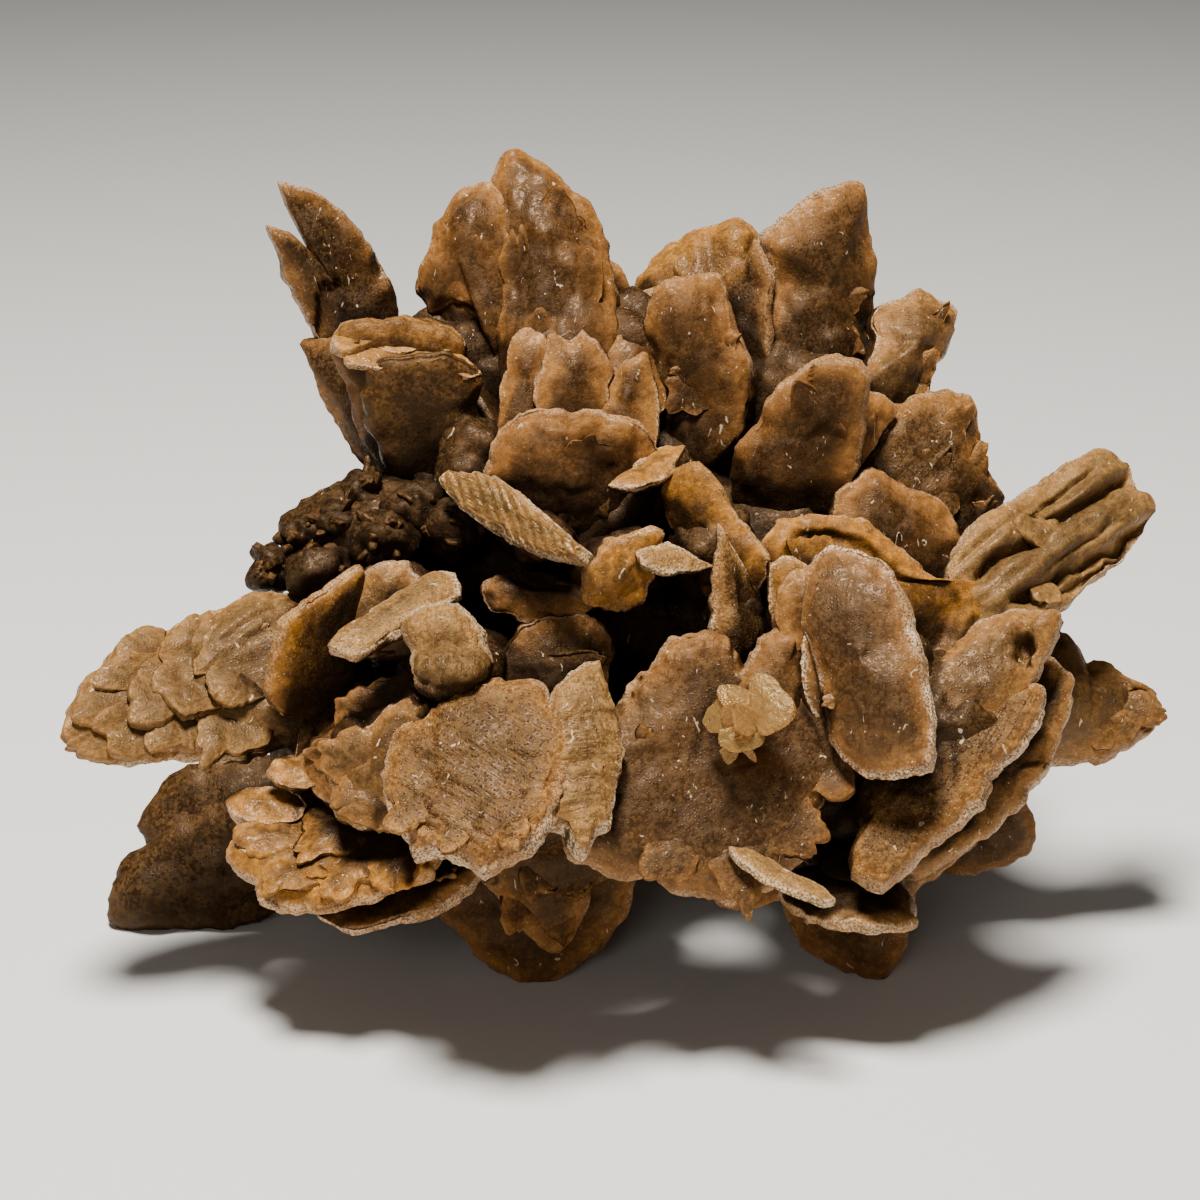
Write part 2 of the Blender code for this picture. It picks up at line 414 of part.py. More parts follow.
def leaf_rim(centre, along, across, length, width):
    """A leaf's outline: round at the root, and drawn in towards the tip."""
    rim = []
    for step in range(GROWN_RIM_POINTS):
        angle = math.tau * step / GROWN_RIM_POINTS
        narrowing = 1 - 0.22 * math.cos(angle)
        rim.append(
            centre
            + along * math.cos(angle) * length / 2
            + across * math.sin(angle) * width / 2 * narrowing
        )
    return rim


def grown_blade(name, grown, collection):
    around = math.radians(grown.around)
    up = math.radians(grown.up)
    spin = math.radians(grown.spin)
    along = np.array([math.cos(around) * math.cos(up), math.sin(around) * math.cos(up), math.sin(up)])
    level = np.array([-math.sin(around), math.cos(around), 0.0])
    upright = np.cross(along, level)
    across = upright * math.cos(spin) + level * math.sin(spin)
    centre = GROWTH_CENTRE + along * (grown.reach - grown.length / 2)
    rim = leaf_rim(centre, along, across, grown.length, grown.width)
    return lens_object(name, rim, centre, np.cross(along, across), grown.thick, LENS, collection)


def ball_object(name, centre, axes, roundness, collection):
    """A faceted ball with its own half extents along three axes."""

    def build(builder):
        bmesh.ops.create_icosphere(builder, subdivisions=roundness, radius=1.0)
        for vertex in builder.verts:
            place = centre + sum(axis * part for axis, part in zip(axes, vertex.co))
            vertex.co = Vector((place + CENTRING) * MM)

    return new_object(name, build, collection)


def lump_object(lump, roundness, collection):
    centre = towards_eye(on_drawing_plane(lump.u, lump.v), lump.near)
    directions = (RIGHT, UPWARD, TOWARDS_EYE)
    axes = [direction * half for direction, half in zip(directions, lump.size)]
    # Right, away and up turn the ball the same way round as x, y and z do.
    return ball_object(lump.name, centre, (axes[0], -axes[2], axes[1]), roundness, collection)


def middle_object(name, centre, half, collection):
    axes = np.diag(np.array(half, float))
    return ball_object(name, np.array(centre, float), axes, HIDDEN_ROUNDNESS, collection)


def ground_object(collection):
    """The slab below the feet."""
    width, depth, height = (side * MM for side in GROUND_SLAB)

    def build(builder):
        bmesh.ops.create_cube(builder, size=1.0)
        for vertex in builder.verts:
            x, y, z = vertex.co
            vertex.co = (x * width, y * depth, (z - 0.5) * height)

    return new_object("ground", build, collection)


def gypsum_material():
    material = bpy.data.materials.new("gypsum")
    material.use_nodes = True
    shader = material.node_tree.nodes["Principled BSDF"]
    shader.inputs["Base Color"].default_value = GYPSUM_COLOUR
    shader.inputs["Roughness"].default_value = GYPSUM_ROUGHNESS
    shader.inputs["Metallic"].default_value = 0.0
    material.diffuse_color = GYPSUM_COLOUR
    return material


def grow_together(rose, blades):
    """Joins every object of the collection to the rose."""
    union = rose.modifiers.new("grown together", "BOOLEAN")
    union.operation = "UNION"
    union.operand_type = "COLLECTION"
    union.collection = blades
    union.solver = "EXACT"


def stand_on(rose, ground):
    """Cuts the tips of the feet off level with the ground."""
    cut = rose.modifiers.new("rest facets", "BOOLEAN")
    cut.operation = "DIFFERENCE"
    cut.object = ground
    cut.solver = "EXACT"


def remove_all_objects():
    for item in list(bpy.data.objects):
        bpy.data.objects.remove(item)


def new_collection(name):
    collection = bpy.data.collections.new(name)
    bpy.context.scene.collection.children.link(collection)
    return collection


def hide(collection):
    for item in collection.objects:
        item.hide_render = True
        item.display_type = "WIRE"


def main():
    remove_all_objects()
    finished = new_collection("gypsum_sand_rose")
    crystals = new_collection("crystals")
    cutters = new_collection("cutters")
    rose = middle_object(OBJECT_NAME, *MIDDLE[0], finished)
    for index, (centre, half) in enumerate(MIDDLE[1:]):
        middle_object(f"middle {index}", centre, half, crystals)
    for blade in BLADES:
        drawn_blade(blade, crystals)
    for pebble in PEBBLES:
        lump_object(pebble, PEBBLE_ROUNDNESS, crystals)
    for root in ROOTS:
        lump_object(root, HIDDEN_ROUNDNESS, crystals)
    for index, grown in enumerate(GROWN):
        grown_blade(f"grown {index}", grown, crystals)
    grow_together(rose, crystals)
    stand_on(rose, ground_object(cutters))
    hide(crystals)
    hide(cutters)
    rose.data.materials.append(gypsum_material())


main()
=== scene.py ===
"""The looks of a gypsum sand rose. Every crystal is a fine closed mesh in the place of its plain solid.

The front crystals repeat the solid's outlines, in millimetres on a plane that stands square to the eye.
u runs to the right and v up, and each outline is carried along the eye's rays onto the tilted plane of
its own crystal.
"""

import functools
import math
from collections import namedtuple

import bmesh
import bpy
import numpy as np
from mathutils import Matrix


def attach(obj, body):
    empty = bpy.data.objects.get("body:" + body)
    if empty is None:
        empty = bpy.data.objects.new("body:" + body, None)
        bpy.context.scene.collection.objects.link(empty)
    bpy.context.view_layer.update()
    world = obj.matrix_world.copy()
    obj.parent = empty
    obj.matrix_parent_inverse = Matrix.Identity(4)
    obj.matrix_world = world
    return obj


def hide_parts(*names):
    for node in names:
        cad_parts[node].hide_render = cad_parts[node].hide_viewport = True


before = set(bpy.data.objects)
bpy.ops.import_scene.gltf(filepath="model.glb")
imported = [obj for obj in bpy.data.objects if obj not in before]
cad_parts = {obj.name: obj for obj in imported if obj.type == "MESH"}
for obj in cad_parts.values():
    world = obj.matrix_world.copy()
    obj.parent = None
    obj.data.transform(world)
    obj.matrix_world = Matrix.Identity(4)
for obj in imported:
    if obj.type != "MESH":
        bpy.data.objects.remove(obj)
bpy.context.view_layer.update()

MM = 0.001
ROOT_BODY = "root"
ROSE_NODE = "sand_rose"

# Where the outlines are drawn from. The drawing plane goes through EYE_TARGET, square to the sight line.
EYE_PITCH = math.radians(20.0)
EYE_DISTANCE = 400.0
EYE_TARGET = np.array([0.0, 0.0, 54.0])
# The place on the drawing plane, in the outlines' own numbers, that lies on EYE_TARGET.
DRAWING_CENTRE = np.array([-2.0, 53.5])
# Moves the rose so that its box is centred over the origin and its feet reach the ground.
CENTRING = np.array([-4.4, -5.4, -1.0])

RIGHT = np.array([1.0, 0.0, 0.0])
UPWARD = np.array([0.0, math.sin(EYE_PITCH), math.cos(EYE_PITCH)])
TOWARDS_EYE = np.array([0.0, -math.cos(EYE_PITCH), math.sin(EYE_PITCH)])
EYE = EYE_TARGET + TOWARDS_EYE * EYE_DISTANCE

# What the frame of the picture spans at EYE_TARGET, in mm, and the camera's sensor in mm.
FRAME_WIDTH = 168.0
SENSOR = 36.0

# How far in from the rim a crystal's face rises, in mm: soon on a plate, slowly on a lens.
PLATE = 1.6
LENS = 4.5
# The crystal's thickness at the rim, as a share of the whole and in mm at most.
RIM_SHARE = 0.4
RIM_THICKNESS = 1.3
# 1 for an outline as round as its corners allow, 0 for straight edges between them.
ROUNDNESS = 0.3
# The step from point to point along each span between two corners, as a share of the span.
CURVE_STEP = 0.02
# The share of the ball's height, out from its equator, that makes the rim's wall.
WALL = 0.14

# tone: -1 dark to 1 pale, partly painted shade. warmth: -1 cool grey, partly a painted sheen, to 1 honey.
# sand: 0 clear to 1 gritty.
# frost: how worn its rim is, which also sets a painted highlight along the rim. striae: how strongly fine
# lines show. gloss: 0 dull to 1 pearly.
# wave, rough: heights of the face's slow and quick relief in mm. ragged: how far the rim wanders in mm.
# layers: how far the leaves of the crystal step in and out at the rim, in mm.
Look = namedtuple("Look", "tone warmth sand frost striae gloss wave rough ragged layers")

# The low tones of dusk, dark, glow, matrix and soil are partly painted shade for crystals that lie in
# shade; glow also gets a painted glowing rim.
LOOKS = {
    "waxy": Look(0.0, 0.2, 0.15, 0.15, 0.05, 0.3, 0.7, 0.3, 0.45, 0.35),
    "dusk": Look(-0.4, 0.15, 0.2, 0.25, 0.08, 0.2, 0.7, 0.3, 0.45, 0.35),
    "tan": Look(0.3, 0.1, 0.3, 0.3, 0.12, 0.3, 0.7, 0.3, 0.5, 0.4),
    "amber": Look(0.25, 0.8, 0.3, 0.35, 0.12, 0.4, 0.6, 0.3, 0.5, 0.35),
    "glow": Look(-0.6, 0.75, 0.25, 0.15, 0.08, 0.2, 0.5, 0.25, 0.5, 0.3),
    "grey": Look(0.15, -0.35, 0.2, 0.7, 0.12, 0.3, 0.7, 0.25, 0.4, 0.35),
    "dark": Look(-0.55, 0.05, 0.25, 0.1, 0.08, 0.1, 0.8, 0.35, 0.5, 0.4),
    "sandy": Look(0.2, 0.2, 0.6, 0.5, 0.4, 0.2, 0.4, 0.2, 0.6, 0.5),
    "mottled": Look(0.05, -0.25, 0.3, 0.2, 0.08, 0.1, 0.6, 0.2, 0.5, 0.4),
    "pearly": Look(0.55, 0.1, 0.3, 0.5, 0.3, 0.8, 0.3, 0.15, 0.4, 0.4),
    "pale": Look(0.6, 0.2, 0.6, 0.5, 0.45, 0.3, 0.4, 0.2, 0.45, 0.4),
    "matrix": Look(-0.9, 0.4, 0.25, 0.0, 0.0, 0.0, 0.4, 0.3, 0.3, 0.3),
    "soil": Look(-0.6, 0.35, 0.3, 0.0, 0.0, 0.0, 1.2, 1.5, 0.3, 0.3),
    "clear": Look(0.0, 0.0, 0.0, 0.0, 0.0, 0.0, 0.15, 0.08, 0.15, 0.1),
}

# How much darker or paler one crystal is than its look's tone: partly its own colour, and partly painted
# shade on crystals in shade and painted light on lit ones.
TONES = {
    "left horn": -0.25, "wedge front": -0.3, "wedge back": -0.2, "wedge ledge": 0.25, "wedge lip": 0.2,
    "crown": -0.15, "crown left": -0.25, "middle petal": -0.25, "lower petal": -0.3,
    "brown blade": -0.15, "tan blade": -0.15, "arc blade": 0.5, "wing": 0.3, "scaled blade": 0.2,
    "twin back": -0.2, "leaf low": 0.05, "leaf high": 0.25, "dark tongue": 0.3,
    "striped plate": 0.1, "front blade": -0.3, "speckled plate": -0.25, "plate facet": -0.2,
    "centre foot": 0.5, "knobbly lobe": 0.35, "right foot": 0.6, "low lobe": 0.3, "left foot": -0.35,
    "left foot high": -0.3, "diagonal low": -0.1, "fan left": -0.1, "thin pale plate": 0.25,
    "saucer": 0.15,
}

# The direction of a crystal's striae, in degrees from the right. The rest have them upright.
UPRIGHT = 90
STRIAE = {
    "fan left": 150, "fan right": 5, "wing": 42, "striped plate": 65, "scaled blade": 200,
    "amber fan": 235, "diagonal low": 60, "diagonal high": 50, "diagonal back": 50, "pale plate": 35,
    "right bump": 155, "tan blade": 55, "right ridge": 55, "lower fan": 250, "thin pale plate": 150,
}

# near: mm towards the eye. turn: degrees that the face looks to the right. lean: degrees that it looks
# up. thick: mm. rise: how far in from the rim the face rises, in mm.
Blade = namedtuple("Blade", "name near turn lean thick rise group look outline")

BLADES = (
    Blade("left horn", -22, 15, -10, 4.5, LENS, "crown", "dusk", (
        (-47.2, 112.3), (-43, 111), (-38, 108.2), (-35, 104.9), (-32, 99.5), (-30, 93), (-24, 80),
        (-28, 73), (-36, 78), (-40, 88), (-43.5, 93), (-46, 97.3), (-48, 103.5), (-48.7, 105.9),
        (-45.5, 105), (-43, 102.7), (-46.2, 109))),
    Blade("wedge back", -11, 0, -25, 5.0, PLATE, "crown", "glow", (
        (-39.8, 90), (-37.5, 92.2), (-32, 92.3), (-29.5, 92.7), (-25, 91.9), (-21.5, 90.3), (-21, 89),
        (-20, 82), (-20, 74), (-25, 70), (-31, 70), (-35, 75), (-37.5, 83))),
    Blade("wedge ledge", -10, 8, 58, 2.6, PLATE, "crown", "amber", (
        (-39.8, 89), (-38, 92), (-35, 92.5), (-32, 92.3), (-29.5, 92.9), (-25, 92.1), (-21.5, 90.3),
        (-20.6, 88.6), (-24, 88), (-25.5, 89), (-29, 88), (-34, 88.6), (-37, 87.7))),
    Blade("wedge front", -7, 0, -22, 4.0, PLATE, "crown", "glow", (
        (-35, 86.5), (-30, 87.5), (-23, 88), (-19.5, 86.2), (-18, 84.8), (-19, 82), (-19.5, 80),
        (-17, 76), (-19, 71.5), (-25, 69), (-31, 71), (-34.5, 78))),
    Blade("wedge lip", -6, 8, 55, 2.2, PLATE, "crown", "amber", (
        (-37.3, 86.2), (-36.5, 88.6), (-33, 89.3), (-28, 89), (-23.5, 88.2), (-20, 86.6), (-18, 84.9),
        (-21, 84.6), (-22.5, 85.7), (-26, 85.3), (-31, 85.8))),
    Blade("left flap", -18, -35, 0, 3.0, PLATE, "crown", "dark", (
        (-43.5, 89.6), (-42, 90), (-36, 90), (-28, 86), (-24, 78), (-26, 70), (-33.6, 71.4),
        (-36.3, 73.8), (-38.3, 77.5), (-40, 80.2), (-41.3, 84.5), (-42.5, 87.5))),
    Blade("crown", -16, 0, 12, 10.0, LENS, "crown", "waxy", (
        (-17, 113), (-15, 116.2), (-13.7, 116.7), (-11.5, 115.2), (-9, 113.6), (-6, 110.6), (-3.5, 108.9),
        (-1.7, 105.5), (-0.6, 102), (0.5, 97), (1, 90), (-1, 83), (-8, 79), (-15, 80), (-16.5, 88),
        (-17.6, 95), (-18.2, 104))),
    Blade("crown back", -22, 10, 10, 5.0, LENS, "crown", "waxy", (
        (-4, 102), (0.5, 100.4), (1.8, 98), (2.5, 96), (4, 90), (0, 85), (-6, 88), (-6, 97))),
    Blade("crown left", -16, -10, 5, 7.0, LENS, "crown", "waxy", (
        (-17, 112), (-19.3, 112), (-22, 110), (-23.3, 107.7), (-25.2, 105.6), (-25.8, 102.5),
        (-27.1, 100), (-27.6, 97), (-25.5, 93), (-22, 94.5), (-18.5, 93.5), (-16.5, 87), (-12, 90),
        (-12, 104))),
    Blade("tongue left", -7.5, -5, 8, 4.0, LENS, "crown", "waxy", (
        (-16.3, 76), (-15.9, 82), (-15, 88), (-13.5, 91), (-11.5, 91.8), (-9.5, 90), (-8.5, 86), (-9, 78),
        (-12.5, 73))),
    Blade("tongue right", -6, 5, 8, 4.0, LENS, "crown", "waxy", (
        (-11.2, 82.5), (-9.5, 88.5), (-8.8, 91), (-6.5, 89.8), (-4.5, 91.3), (-2.5, 89.5), (-0.8, 86.5),
        (-0.5, 81), (-4.5, 74), (-10.5, 76))),
    Blade("shelf high", -11, 5, 20, 4.5, LENS, "crown", "waxy", (
        (-3, 84), (-1.8, 88), (0, 91), (3.5, 93), (6, 93), (8, 87), (7, 80), (2, 77), (-2, 79))),
    Blade("shelf low", -6, 0, 15, 4.5, LENS, "crown", "waxy", (
        (-3.5, 80.3), (-2, 82), (1.3, 86.8), (4.4, 87.8), (6, 83), (6, 75), (1, 72), (-3, 75))),
    Blade("back ridge", -32, -10, 14, 8.0, PLATE, "crown", "amber", (
        (2, 94), (3, 98), (6.2, 102), (9, 103.7), (11.5, 105), (15, 105.5), (18, 105.9), (20.5, 104),
        (22, 96), (18, 86), (10, 82), (3, 87))),
    Blade("narrow", -17, -40, 0, 4.0, LENS, "crown", "dark", (
        (15, 98.5), (17, 100.7), (18.5, 101), (20, 104), (22, 98), (22, 88), (20, 81), (17, 80),
        (15.5, 90))),
    Blade("spire", -19, 14, -4, 8.0, LENS, "crown", "dusk", (
        (20.3, 103.8), (21.5, 105.5), (25, 108.3), (29, 110.7), (32, 111.8), (34.7, 111.7), (35.4, 106),
        (36.7, 101.2), (36.6, 97), (35.3, 93), (35.5, 87), (33, 80), (26, 77), (21, 81), (20, 89),
        (22, 98))),
    Blade("middle petal", -10, -12, -6, 6.0, LENS, "crown", "waxy", (
        (4.7, 95), (6, 97.5), (9, 98.7), (13, 99.4), (14.8, 98.8), (15.8, 96.5), (17, 92), (19, 87),
        (20, 82), (18, 76), (13, 72), (7, 73), (4.3, 79), (4.2, 87))),
    Blade("lower petal", -2, -12, -16, 6.5, LENS, "right", "waxy", (
        (16.5, 72), (17.3, 75.3), (20, 78.5), (22, 82.5), (25, 85), (27.5, 87), (31, 88), (34.5, 87.1),
        (35.9, 84.8), (35.3, 80), (35, 76), (33.5, 70), (30, 64), (24, 61), (18.5, 64), (16.5, 68))),
    Blade("petal ear", -6, 25, 5, 4.0, LENS, "right", "waxy", (
        (32, 84), (35.8, 82.8), (37.5, 82.3), (39.2, 80.3), (38.5, 78.5), (37, 76), (34, 72), (31, 75))),
    Blade("right ridge", -19, 15, 12, 9.0, LENS, "right", "tan", (
        (35.5, 88), (36, 92.5), (37.5, 94.6), (41, 96.3), (43, 97), (45.5, 96), (48.1, 94), (47.3, 90),
        (45.5, 86.3), (43.5, 81), (40, 76), (35, 75), (32, 81))),
    Blade("tan blade", -12, 15, 12, 8.0, LENS, "right", "tan", (
        (34, 77), (38, 80.3), (43.7, 82.2), (45.5, 83), (49, 81.8), (50.6, 80), (50.9, 76.5),
        (51.8, 71.8), (54, 68.2), (54, 64), (49, 58), (41, 59), (35, 66))),
    Blade("brown blade", -3, 12, 5, 6.0, LENS, "right", "waxy", (
        (30.3, 67), (31.5, 69), (35, 72), (36.5, 71.8), (40, 69.9), (45, 67.5), (46.5, 65.5), (50, 60),
        (48, 53), (41, 50), (34, 54), (30, 61))),
    Blade("wing", -4, 15, 22, 8.0, LENS, "right", "tan", (
        (46, 58), (50, 64), (54.3, 66.7), (58, 68.5), (62.5, 72), (66.5, 74.2), (68.5, 74.6), (72, 72.2),
        (72.8, 68.8), (75, 68), (75.2, 65.5), (72.5, 61), (69.5, 58), (65.5, 54.8), (62, 51.5), (56, 48),
        (49, 50))),
    Blade("arc blade", 6, 5, 10, 7.0, LENS, "right", "glow", (
        (20.5, 61.5), (23, 64.5), (27.5, 65.7), (34.5, 64.8), (38, 62.5), (41.5, 59.2), (44.5, 56.5),
        (50, 56), (52, 51), (49, 44), (42, 40), (33, 42), (25, 48), (20.5, 55))),
    Blade("knuckle", 11, 0, 5, 6.0, LENS, "right", "amber", (
        (21.5, 52), (22, 58), (23.5, 59.3), (25, 59.4), (26.8, 58.2), (28.5, 53), (26, 47), (22.5, 48))),
    Blade("leaf high", 7, -25, -5, 5.0, LENS, "right", "glow", (
        (7, 70.5), (8.5, 71.7), (11.5, 72.8), (13.8, 70.7), (16, 67.6), (19, 63.5), (21.3, 60),
        (21.5, 57), (18, 52), (13, 54), (9.8, 61), (7.3, 66))),
    Blade("leaf low", 12, 15, 0, 5.5, LENS, "right", "sandy", (
        (14.7, 64.2), (16.2, 62), (18.3, 57), (20, 53), (20.7, 49.5), (19.5, 46), (17, 44), (14, 46),
        (12.8, 50), (13.6, 55))),
    Blade("centre disc", 2, 5, -20, 7.0, LENS, "middle", "waxy", (
        (-18.5, 71.5), (-17, 75.5), (-15, 78.5), (-12, 79.9), (-8, 80.2), (-3, 80.1), (1, 79.4),
        (3.5, 78.3), (6, 74.7), (7.5, 69), (4, 61), (-2, 56), (-9, 56), (-15, 60), (-18.5, 66))),
    Blade("disc fin", 5, 0, 50, 1.8, PLATE, "middle", "amber", (
        (-1.2, 69.3), (2, 71.8), (6, 74.6), (10, 74.8), (9.5, 73), (6.5, 70.3), (3, 69))),
    Blade("striped plate", 11, -25, 25, 3.0, PLATE, "striped", "pearly", (
        (-24.2, 70), (-23, 71.3), (-19, 71.1), (-16, 70.5), (-13, 68), (-9, 64.8), (-5, 61.3), (-3, 59.8),
        (-4, 58.6), (-8, 58.9), (-12, 60), (-16.5, 62.7), (-21.5, 66.3))),
    Blade("curved plate", 13, 20, -12, 4.0, LENS, "middle", "amber", (
        (-5, 56), (-3.6, 59), (-1, 61.8), (1, 62.3), (5, 63.6), (6.9, 62.9), (6.5, 61.3), (5, 57),
        (3.5, 53), (0, 51.8), (-5, 53))),
    Blade("small leaf", 14, 10, 30, 2.0, PLATE, "middle", "pale", (
        (2.8, 59.9), (6, 61), (7.3, 61.4), (9, 60.7), (12.5, 58.8), (13.5, 58.2), (11, 57.2), (8.5, 57),
        (4, 57.5))),
    Blade("dark tongue", 6, 0, 15, 4.5, LENS, "middle", "dark", (
        (-18.8, 55), (-18, 56.5), (-14, 57.8), (-10, 57.4), (-5, 55.5), (-1, 53), (-6, 50.5), (-12, 50),
        (-17, 52))),
    Blade("dark disc", 8, 5, 0, 6.0, LENS, "middle", "dark", (
        (-17, 44), (-13, 50), (-9, 51.3), (-4, 51.4), (-1.5, 50.3), (-0.3, 48), (-0.3, 44), (-1.5, 39),
        (-6, 35), (-13, 35))),
    Blade("scaled blade", 6, 10, 22, 9.0, LENS, "left", "tan", (
        (-48.9, 54.8), (-53.5, 53), (-58.5, 50.8), (-62, 49.3), (-66.8, 47.9), (-72.3, 45.2),
        (-72.2, 43.8), (-74.8, 40.7), (-76.2, 38.2), (-76.2, 34.8), (-74.8, 32.7), (-71, 30.7),
        (-67, 30.5), (-62, 31.2), (-55, 30.7), (-51.5, 30.6), (-47.5, 32.4), (-40, 34), (-33, 41),
        (-37, 50), (-43, 54))),
    Blade("orange rim", 10, 42, -15, 4.0, PLATE, "left", "glow", (
        (-35.8, 58.1), (-39, 56.3), (-43, 53.6), (-46.5, 49.7), (-48.3, 45), (-48.8, 41.5), (-47, 38),
        (-42, 37), (-38, 40), (-35, 47), (-34, 54))),
    Blade("glinting lobe", 8, -8, 5, 5.0, LENS, "left", "tan", (
        (-38.3, 53), (-37.5, 55), (-34.8, 57.5), (-31.5, 59.1), (-29, 58.6), (-27, 56), (-25, 51),
        (-28, 46), (-34, 45), (-38, 48))),
    Blade("pale plate", 17, -5, 48, 4.0, PLATE, "left", "pale", (
        (-40, 46.6), (-39, 48.2), (-36, 50.2), (-32.5, 52.7), (-28.5, 55.3), (-25, 57), (-22, 57),
        (-21.5, 54), (-26, 50.5), (-31, 48), (-36, 45.2))),
    Blade("pale block", 20, 0, 10, 8.0, PLATE, "left", "pale", (
        (-29.6, 50.5), (-29, 46), (-28.2, 41.5), (-25.5, 39.3), (-21, 39.5), (-18.3, 41.5), (-17, 44.3),
        (-18, 48.5), (-20.5, 52), (-23.5, 53.3), (-27, 52.3))),
    Blade("fan left", 31, -12, 32, 6.5, PLATE, "front", "sandy", (
        (-19, 41.8), (-25, 37.8), (-30, 34.8), (-31.8, 31.5), (-32.2, 29), (-31.9, 24.5), (-30, 22),
        (-28.8, 18.5), (-27.8, 17.2), (-24, 17.8), (-20, 16.1), (-18.3, 14.4), (-15, 16.3), (-10.5, 19.3),
        (-8.5, 22), (-6, 28), (-6, 36), (-11, 41.5))),
    Blade("fan right", 30, 10, 26, 6.0, PLATE, "front", "pale", (
        (-9, 40), (-10.5, 33), (-10, 26), (-8.8, 21.4), (-7, 20.5), (-5.5, 17.3), (-4.2, 16.9),
        (-2.7, 19.8), (-0.9, 21.5), (-0.4, 25), (0.5, 29), (1.3, 32.3), (0.3, 36), (-1, 41), (-2.2, 44.7),
        (-5, 44))),
    Blade("speckled plate", 22, 4, 12, 7.5, PLATE, "front", "mottled", (
        (0, 38.5), (1.7, 41), (4, 43.5), (8, 47.7), (12, 49), (16, 47.6), (18.3, 44.4), (23, 43),
        (29, 41), (32, 36), (34.8, 30), (31.5, 28.6), (30.4, 26.5), (28.2, 24), (27, 18.5), (22.5, 13),
        (17, 10.6), (12.5, 11.8), (8.5, 12.7), (5, 14.5), (-1, 14.6), (-7, 18), (-6, 28))),
    Blade("plate lobe", 21, 6, 5, 5.0, PLATE, "front", "mottled", (
        (18, 44), (20.3, 48), (23, 49.8), (26, 49.6), (26.6, 46), (27.5, 41), (25, 36), (19, 36),
        (16, 40))),
    Blade("plate leaf", 22, 20, 5, 4.0, LENS, "front", "grey", (
        (26, 49), (28, 50), (29.8, 49.8), (30.5, 45), (30.6, 39), (28.5, 36), (26.3, 40), (25.8, 45))),
    Blade("plate facet", 20, 5, 5, 5.0, LENS, "front", "grey", (
        (22, 25), (26, 25), (28.2, 24), (28.4, 21.5), (27.3, 19.3), (25.3, 17.6), (21, 17), (19, 21))),
    Blade("front blade", 26, -25, 8, 7.0, LENS, "front", "grey", (
        (26.5, 50), (26.3, 54), (27.3, 57.7), (29.5, 60.6), (31.5, 61), (35, 60), (38.5, 58),
        (40.5, 54.5), (42.3, 49), (43.7, 43), (44.8, 37), (45.1, 31.5), (44.2, 29.6), (40, 28.6),
        (36, 28.2), (33, 30), (30.5, 34), (29.3, 42))),
    Blade("front shoulder", 21, -5, 8, 5.0, LENS, "front", "waxy", (
        (22.5, 51), (23, 55), (25, 57.2), (28, 58.4), (30, 54), (29, 47), (25, 46))),
    Blade("diagonal high", 17, -8, 24, 5.0, PLATE, "front", "tan", (
        (43.5, 42.7), (47.5, 47), (51.5, 50), (55.5, 51.7), (60, 51.4), (62, 51.2), (62.7, 50.3),
        (62.2, 48), (60.5, 44), (57, 38), (49, 34), (42, 36))),
    Blade("diagonal low", 21, -12, 22, 5.5, PLATE, "front", "sandy", (
        (43.5, 40), (47, 43.5), (52, 43.6), (57, 42.3), (60.3, 41.5), (60.9, 39.5), (60, 36.3),
        (56.5, 31.5), (54, 29.5), (51.5, 25), (48, 21.3), (44, 18), (40, 14.7), (37.8, 12.7),
        (35.8, 13.3), (33.5, 14.8), (33.6, 18), (34.7, 23), (35.5, 29), (39, 35))),
    Blade("diagonal back", 13, -8, 14, 4.5, PLATE, "front", "tan", (
        (60, 46.5), (63, 43.8), (64.5, 42), (64, 38), (62.3, 33), (61, 29.5), (57.8, 25.8), (53, 21),
        (47, 16.8), (43, 14.5), (38, 14), (39, 22), (46, 33), (53, 42))),
    Blade("right bump", -13, 15, 12, 12.0, LENS, "right", "tan", (
        (60, 50), (62.3, 48.8), (64.5, 46.8), (66.2, 44.1), (69, 44), (72, 42.5), (75, 41), (76.2, 39),
        (76.3, 37.3), (74.5, 35), (72.5, 33), (69, 31.6), (65, 30.6), (56, 30), (45, 33), (42, 42),
        (50, 49))),
    Blade("right foot lobe", -18, 5, -10, 9.0, LENS, "feet", "dark", (
        (57.8, 25.4), (58.7, 23.5), (58.9, 20.5), (57.5, 18), (54, 16.3), (50, 15.3), (45, 15.5),
        (38, 18), (36, 25), (42, 31), (52, 30))),
    Blade("right foot", -6.5, 0, -15, 9.0, LENS, "feet", "dark", (
        (23.3, 12), (24.3, 8), (25.7, 5.2), (28.5, 3.3), (32, 1.9), (35, 1.2), (38, 1.6), (40.2, 3.8),
        (41, 6.5), (41.5, 13), (40, 25), (34, 31), (27, 27), (22, 18))),
    Blade("thin pale plate", 30.5, 25, 50, 1.8, PLATE, "front", "pale", (
        (15.4, 18.6), (19, 18.2), (23, 16.3), (26.5, 14.5), (29, 13), (31.2, 10.9), (29, 10.8),
        (25, 12.4), (21, 14.2), (17, 16.6))),
    Blade("saucer", 17, 0, 58, 2.6, PLATE, "front", "tan", (
        (23, 12.8), (25, 10.3), (27.5, 8.5), (31, 7.6), (35, 7.1), (40, 7.1), (42.6, 8.2), (41.5, 11),
        (40, 14), (35, 16), (29, 16), (25, 15))),
    Blade("right web", 6, 5, -12, 5.0, LENS, "feet", "dark", (
        (34, 17), (38, 13.5), (41, 11.8), (43, 13.8), (46.5, 15.7), (51, 20), (48, 27), (40, 27),
        (34, 23))),
    Blade("centre foot", -6, -6, -8, 11.0, LENS, "feet", "dark", (
        (-24.5, 9.2), (-21.5, 7.2), (-19, 3.8), (-16, 1.7), (-12.5, 0.2), (-8.5, 0.2), (-6, 2.2),
